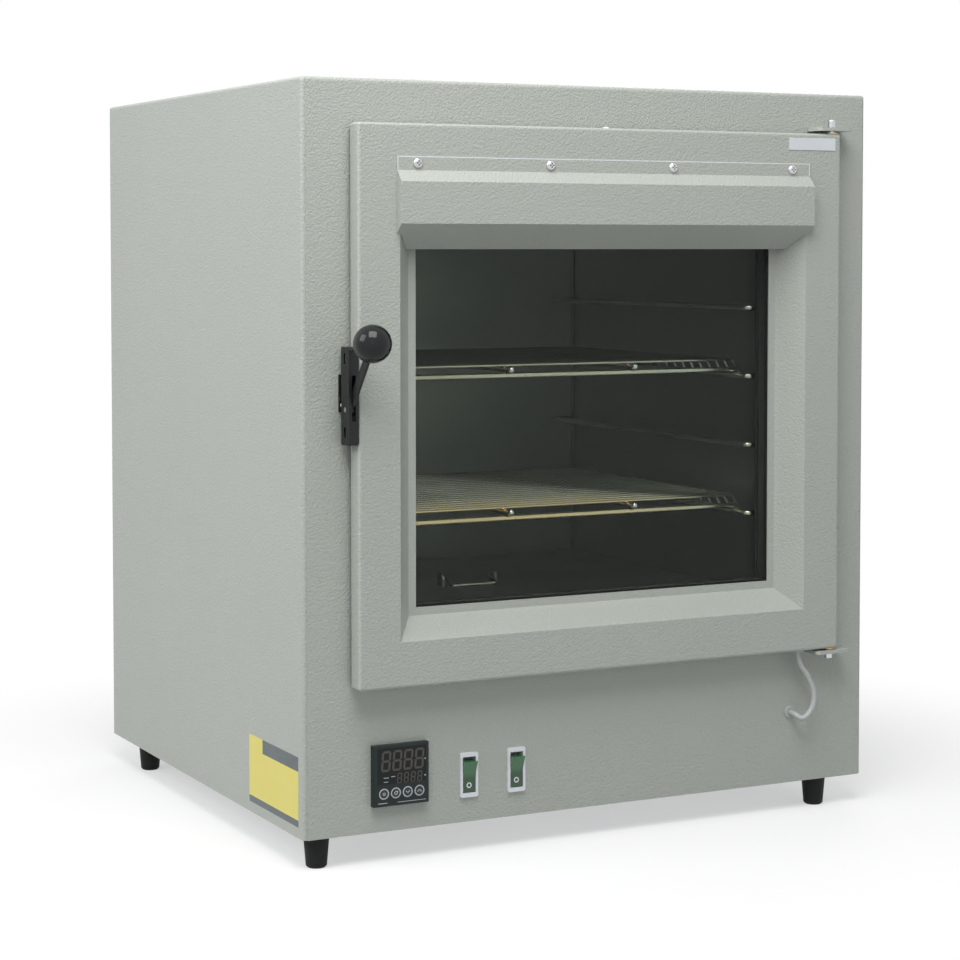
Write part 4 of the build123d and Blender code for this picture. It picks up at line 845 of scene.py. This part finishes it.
class OVEN_OT_latch_screw_caps(bpy.types.Operator):
    """Makes the bright heads in the slots of the latch's bracket"""
    bl_idname = "oven.latch_screw_caps"
    bl_label = "Latch Screw Caps"

    def execute(self, context):
        low, high = node_box("latch_screws")
        radius = (high.y - low.y) / 2
        mesh_data = bmesh.new()
        for z in (low.z + radius, high.z - radius):
            dome(mesh_data, (low.x + 0.0004, (low.y + high.y) / 2, z), radius * 0.8, 0.0009, "X")
        finish_piece(mesh_data, "latch_screw_caps", "chrome", "door", smooth=True)
        return {"FINISHED"}


class OVEN_OT_visor_edge(bpy.types.Operator):
    """Makes a painted highlight: thin white strips round the top and ends of the visor's flange
    """
    bl_idname = "oven.visor_edge"
    bl_label = "Visor Edge"

    def execute(self, context):
        left, right, top = VISOR_LOW.x + 0.0002, VISOR_HIGH.x - 0.0002, VISOR_HIGH.z
        mesh_data = bmesh.new()
        # Painted highlight: white strips just proud of the painted flange, along its top and its
        # ends
        for x_span, z_span in (((left, right), (top - 0.0008, top - 0.0001)),
                               ((left, left + 0.0007), (top - 0.0105, top - 0.0009)),
                               ((right - 0.0007, right), (top - 0.0105, top - 0.0009))):
            front_plate(mesh_data, x_span, z_span, FLANGE_FACE - 0.00008, FLANGE_FACE + 0.0004)
        finish_piece(mesh_data, "visor_flange_highlight", "white", "door")
        return {"FINISHED"}


class OVEN_OT_door_rivets(bpy.types.Operator):
    """Makes the two small rivets in the top and bottom edges of the door"""
    bl_idname = "oven.door_rivets"
    bl_label = "Door Rivets"

    def execute(self, context):
        y = (DOOR_LOW.y + DOOR_HIGH.y) / 2 - 0.001
        mesh_data = bmesh.new()
        for z in (DOOR_HIGH.z - 0.0002, DOOR_LOW.z + 0.0002):
            dome(mesh_data, (0.0, y, z), 0.003, 0.0018, "Z")
        finish_piece(mesh_data, "door_rivets", "white", "door", smooth=True)
        return {"FINISHED"}


class OVEN_OT_corner_welds(bpy.types.Operator):
    """Makes the ground weld beads in the chamber's two back corners"""
    bl_idname = "oven.corner_welds"
    bl_label = "Corner Welds"

    def execute(self, context):
        radius = sizes().weld_bead / 2
        bottom, top = CHAMBER_LOW.z + 0.014, CHAMBER_HIGH.z - 0.014
        mesh_data = bmesh.new()
        for x in (-WELD_X, WELD_X):
            place = Matrix.Translation((x, CHAMBER_HIGH.y - 0.0022, (bottom + top) / 2))
            bmesh.ops.create_cone(mesh_data, cap_ends=True, segments=16, radius1=radius,
                                  radius2=radius, depth=top - bottom, matrix=place)
        finish_piece(mesh_data, "corner_welds", "weld", "cabinet", smooth=True)
        return {"FINISHED"}


class OVEN_OT_runner_ends(bpy.types.Operator):
    """Makes the polished balls on the front ends of the shelves' runners"""
    bl_idname = "oven.runner_ends"
    bl_label = "Runner Ends"

    def execute(self, context):
        radius = sizes().runner_ball / 2
        for shelf in ("shelf_upper", "shelf_lower"):
            low, high = node_box(shelf)
            mesh_data = bmesh.new()
            for x in (-RUNNER_X, RUNNER_X):
                dome(mesh_data, (x, low.y + 0.0004, high.z - 0.0042), radius, radius, "Y")
            finish_piece(mesh_data, f"{shelf}_runner_ends", "chrome", shelf,
                         smooth=True)
        return {"FINISHED"}


def add_floor(scene):
    """Adds a floor that takes the part's shadow and is plain white paper further out."""
    mesh_data = bmesh.new()
    bmesh.ops.create_grid(mesh_data, x_segments=1, y_segments=1, size=FLOOR_REACH)
    mesh = bpy.data.meshes.new("studio_floor")
    mesh_data.to_mesh(mesh)
    mesh_data.free()
    floor = bpy.data.objects.new("studio_floor", mesh)
    scene.collection.objects.link(floor)
    material, tree, shader = base_material("Studio Floor")
    shader.inputs["Roughness"].default_value = 0.9
    reach = add_node(tree, "ShaderNodeVectorMath", {0: object_place(tree)}, operation="LENGTH")
    fade = map_span(tree, reach.outputs["Value"], PAPER_SPAN, PAPER_SHARE,
                    interpolation_type="SMOOTHSTEP")
    seen = background_rays(tree)
    tree.links.new(mix_colours(tree, seen, FLOOR_UNSEEN, FLOOR_SEEN),
                   shader.inputs["Base Color"])
    paper = add_node(tree, "ShaderNodeEmission")
    share = combine(tree, "MULTIPLY", fade, seen)
    mix_shaders(tree, share, shader, paper, "Material Output")
    mesh.materials.append(material)


def add_world(scene):
    """Adds a world that is white where it is seen, and dimmer where it lights the part."""
    world = bpy.data.worlds.new("Studio")
    scene.world = world
    world.use_nodes = True
    tree = world.node_tree
    paper = tree.nodes["Background"]
    paper.inputs["Color"].default_value = (1.0, 1.0, 1.0, 1.0)
    paper.inputs["Strength"].default_value = 1.0
    room = add_node(tree, "ShaderNodeBackground", {"Color": ROOM_TONE, "Strength": ROOM_STRENGTH})
    mix_shaders(tree, background_rays(tree), room, paper, "World Output")


class OVEN_OT_stage(bpy.types.Operator):
    """Makes the floor, the lights, the world and the camera"""
    bl_idname = "oven.stage"
    bl_label = "Studio Stage"

    def execute(self, context):
        scene = context.scene
        add_floor(scene)
        add_world(scene)
        for name, place, size, power in LAMPS:
            light = bpy.data.lights.new(name, "AREA")
            light.size = size
            light.energy = power
            lamp = bpy.data.objects.new(name, light)
            lamp.location = place
            aim = LAMP_AIM - Vector(place)
            lamp.rotation_euler = aim.to_track_quat("-Z", "Y").to_euler()
            scene.collection.objects.link(lamp)
        lens = bpy.data.cameras.new("camera")
        lens.sensor_width = 36.0
        lens.lens = CAMERA_LENS
        lens.shift_x, lens.shift_y = CAMERA_SHIFT
        camera = bpy.data.objects.new("camera", lens)
        camera.location = CAMERA_PLACE
        camera.rotation_euler = CAMERA_TURN
        scene.collection.objects.link(camera)
        scene.camera = camera
        scene.view_settings.view_transform = "Standard"
        return {"FINISHED"}


OPERATORS = (
    OVEN_OT_node_finishes, OVEN_OT_lamp_cable, OVEN_OT_badge_plate, OVEN_OT_side_label,
    OVEN_OT_controller_display, OVEN_OT_key_rings, OVEN_OT_rocker_marks, OVEN_OT_keeper_screw,
    OVEN_OT_visor_screws, OVEN_OT_latch_screw_caps, OVEN_OT_visor_edge, OVEN_OT_door_rivets,
    OVEN_OT_corner_welds, OVEN_OT_runner_ends, OVEN_OT_stage,
)


class OVEN_PT_pieces(bpy.types.Panel):
    """Sizes, finishes and pieces of the oven"""
    bl_label = "Drying Oven"
    bl_idname = "OVEN_PT_pieces"
    bl_space_type = "VIEW_3D"
    bl_region_type = "UI"
    bl_category = "Oven"

    def draw(self, context):
        layout = self.layout
        for settings in (context.scene.oven_sizes, context.scene.oven_finishes):
            for name in settings.__annotations__:
                layout.prop(settings, name)
        for operator in OPERATORS:
            layout.operator(operator.bl_idname)


CLASSES = (OvenFinishes, OvenSizes, *OPERATORS, OVEN_PT_pieces)


def register():
    for item in CLASSES:
        bpy.utils.register_class(item)
    bpy.types.Scene.oven_finishes = PointerProperty(type=OvenFinishes)
    bpy.types.Scene.oven_sizes = PointerProperty(type=OvenSizes)


def unregister():
    del bpy.types.Scene.oven_sizes
    del bpy.types.Scene.oven_finishes
    for item in reversed(CLASSES):
        bpy.utils.unregister_class(item)


def main():
    register()
    bpy.ops.oven.node_finishes()
    bpy.ops.oven.lamp_cable()
    bpy.ops.oven.badge_plate()
    bpy.ops.oven.side_label()
    bpy.ops.oven.controller_display()
    bpy.ops.oven.key_rings()
    bpy.ops.oven.rocker_marks()
    bpy.ops.oven.keeper_screw()
    bpy.ops.oven.visor_screws()
    bpy.ops.oven.latch_screw_caps()
    bpy.ops.oven.visor_edge()
    bpy.ops.oven.door_rivets()
    bpy.ops.oven.corner_welds()
    bpy.ops.oven.runner_ends()
    bpy.ops.oven.stage()
    bpy.context.view_layer.update()


if __name__ == "__main__":
    main()
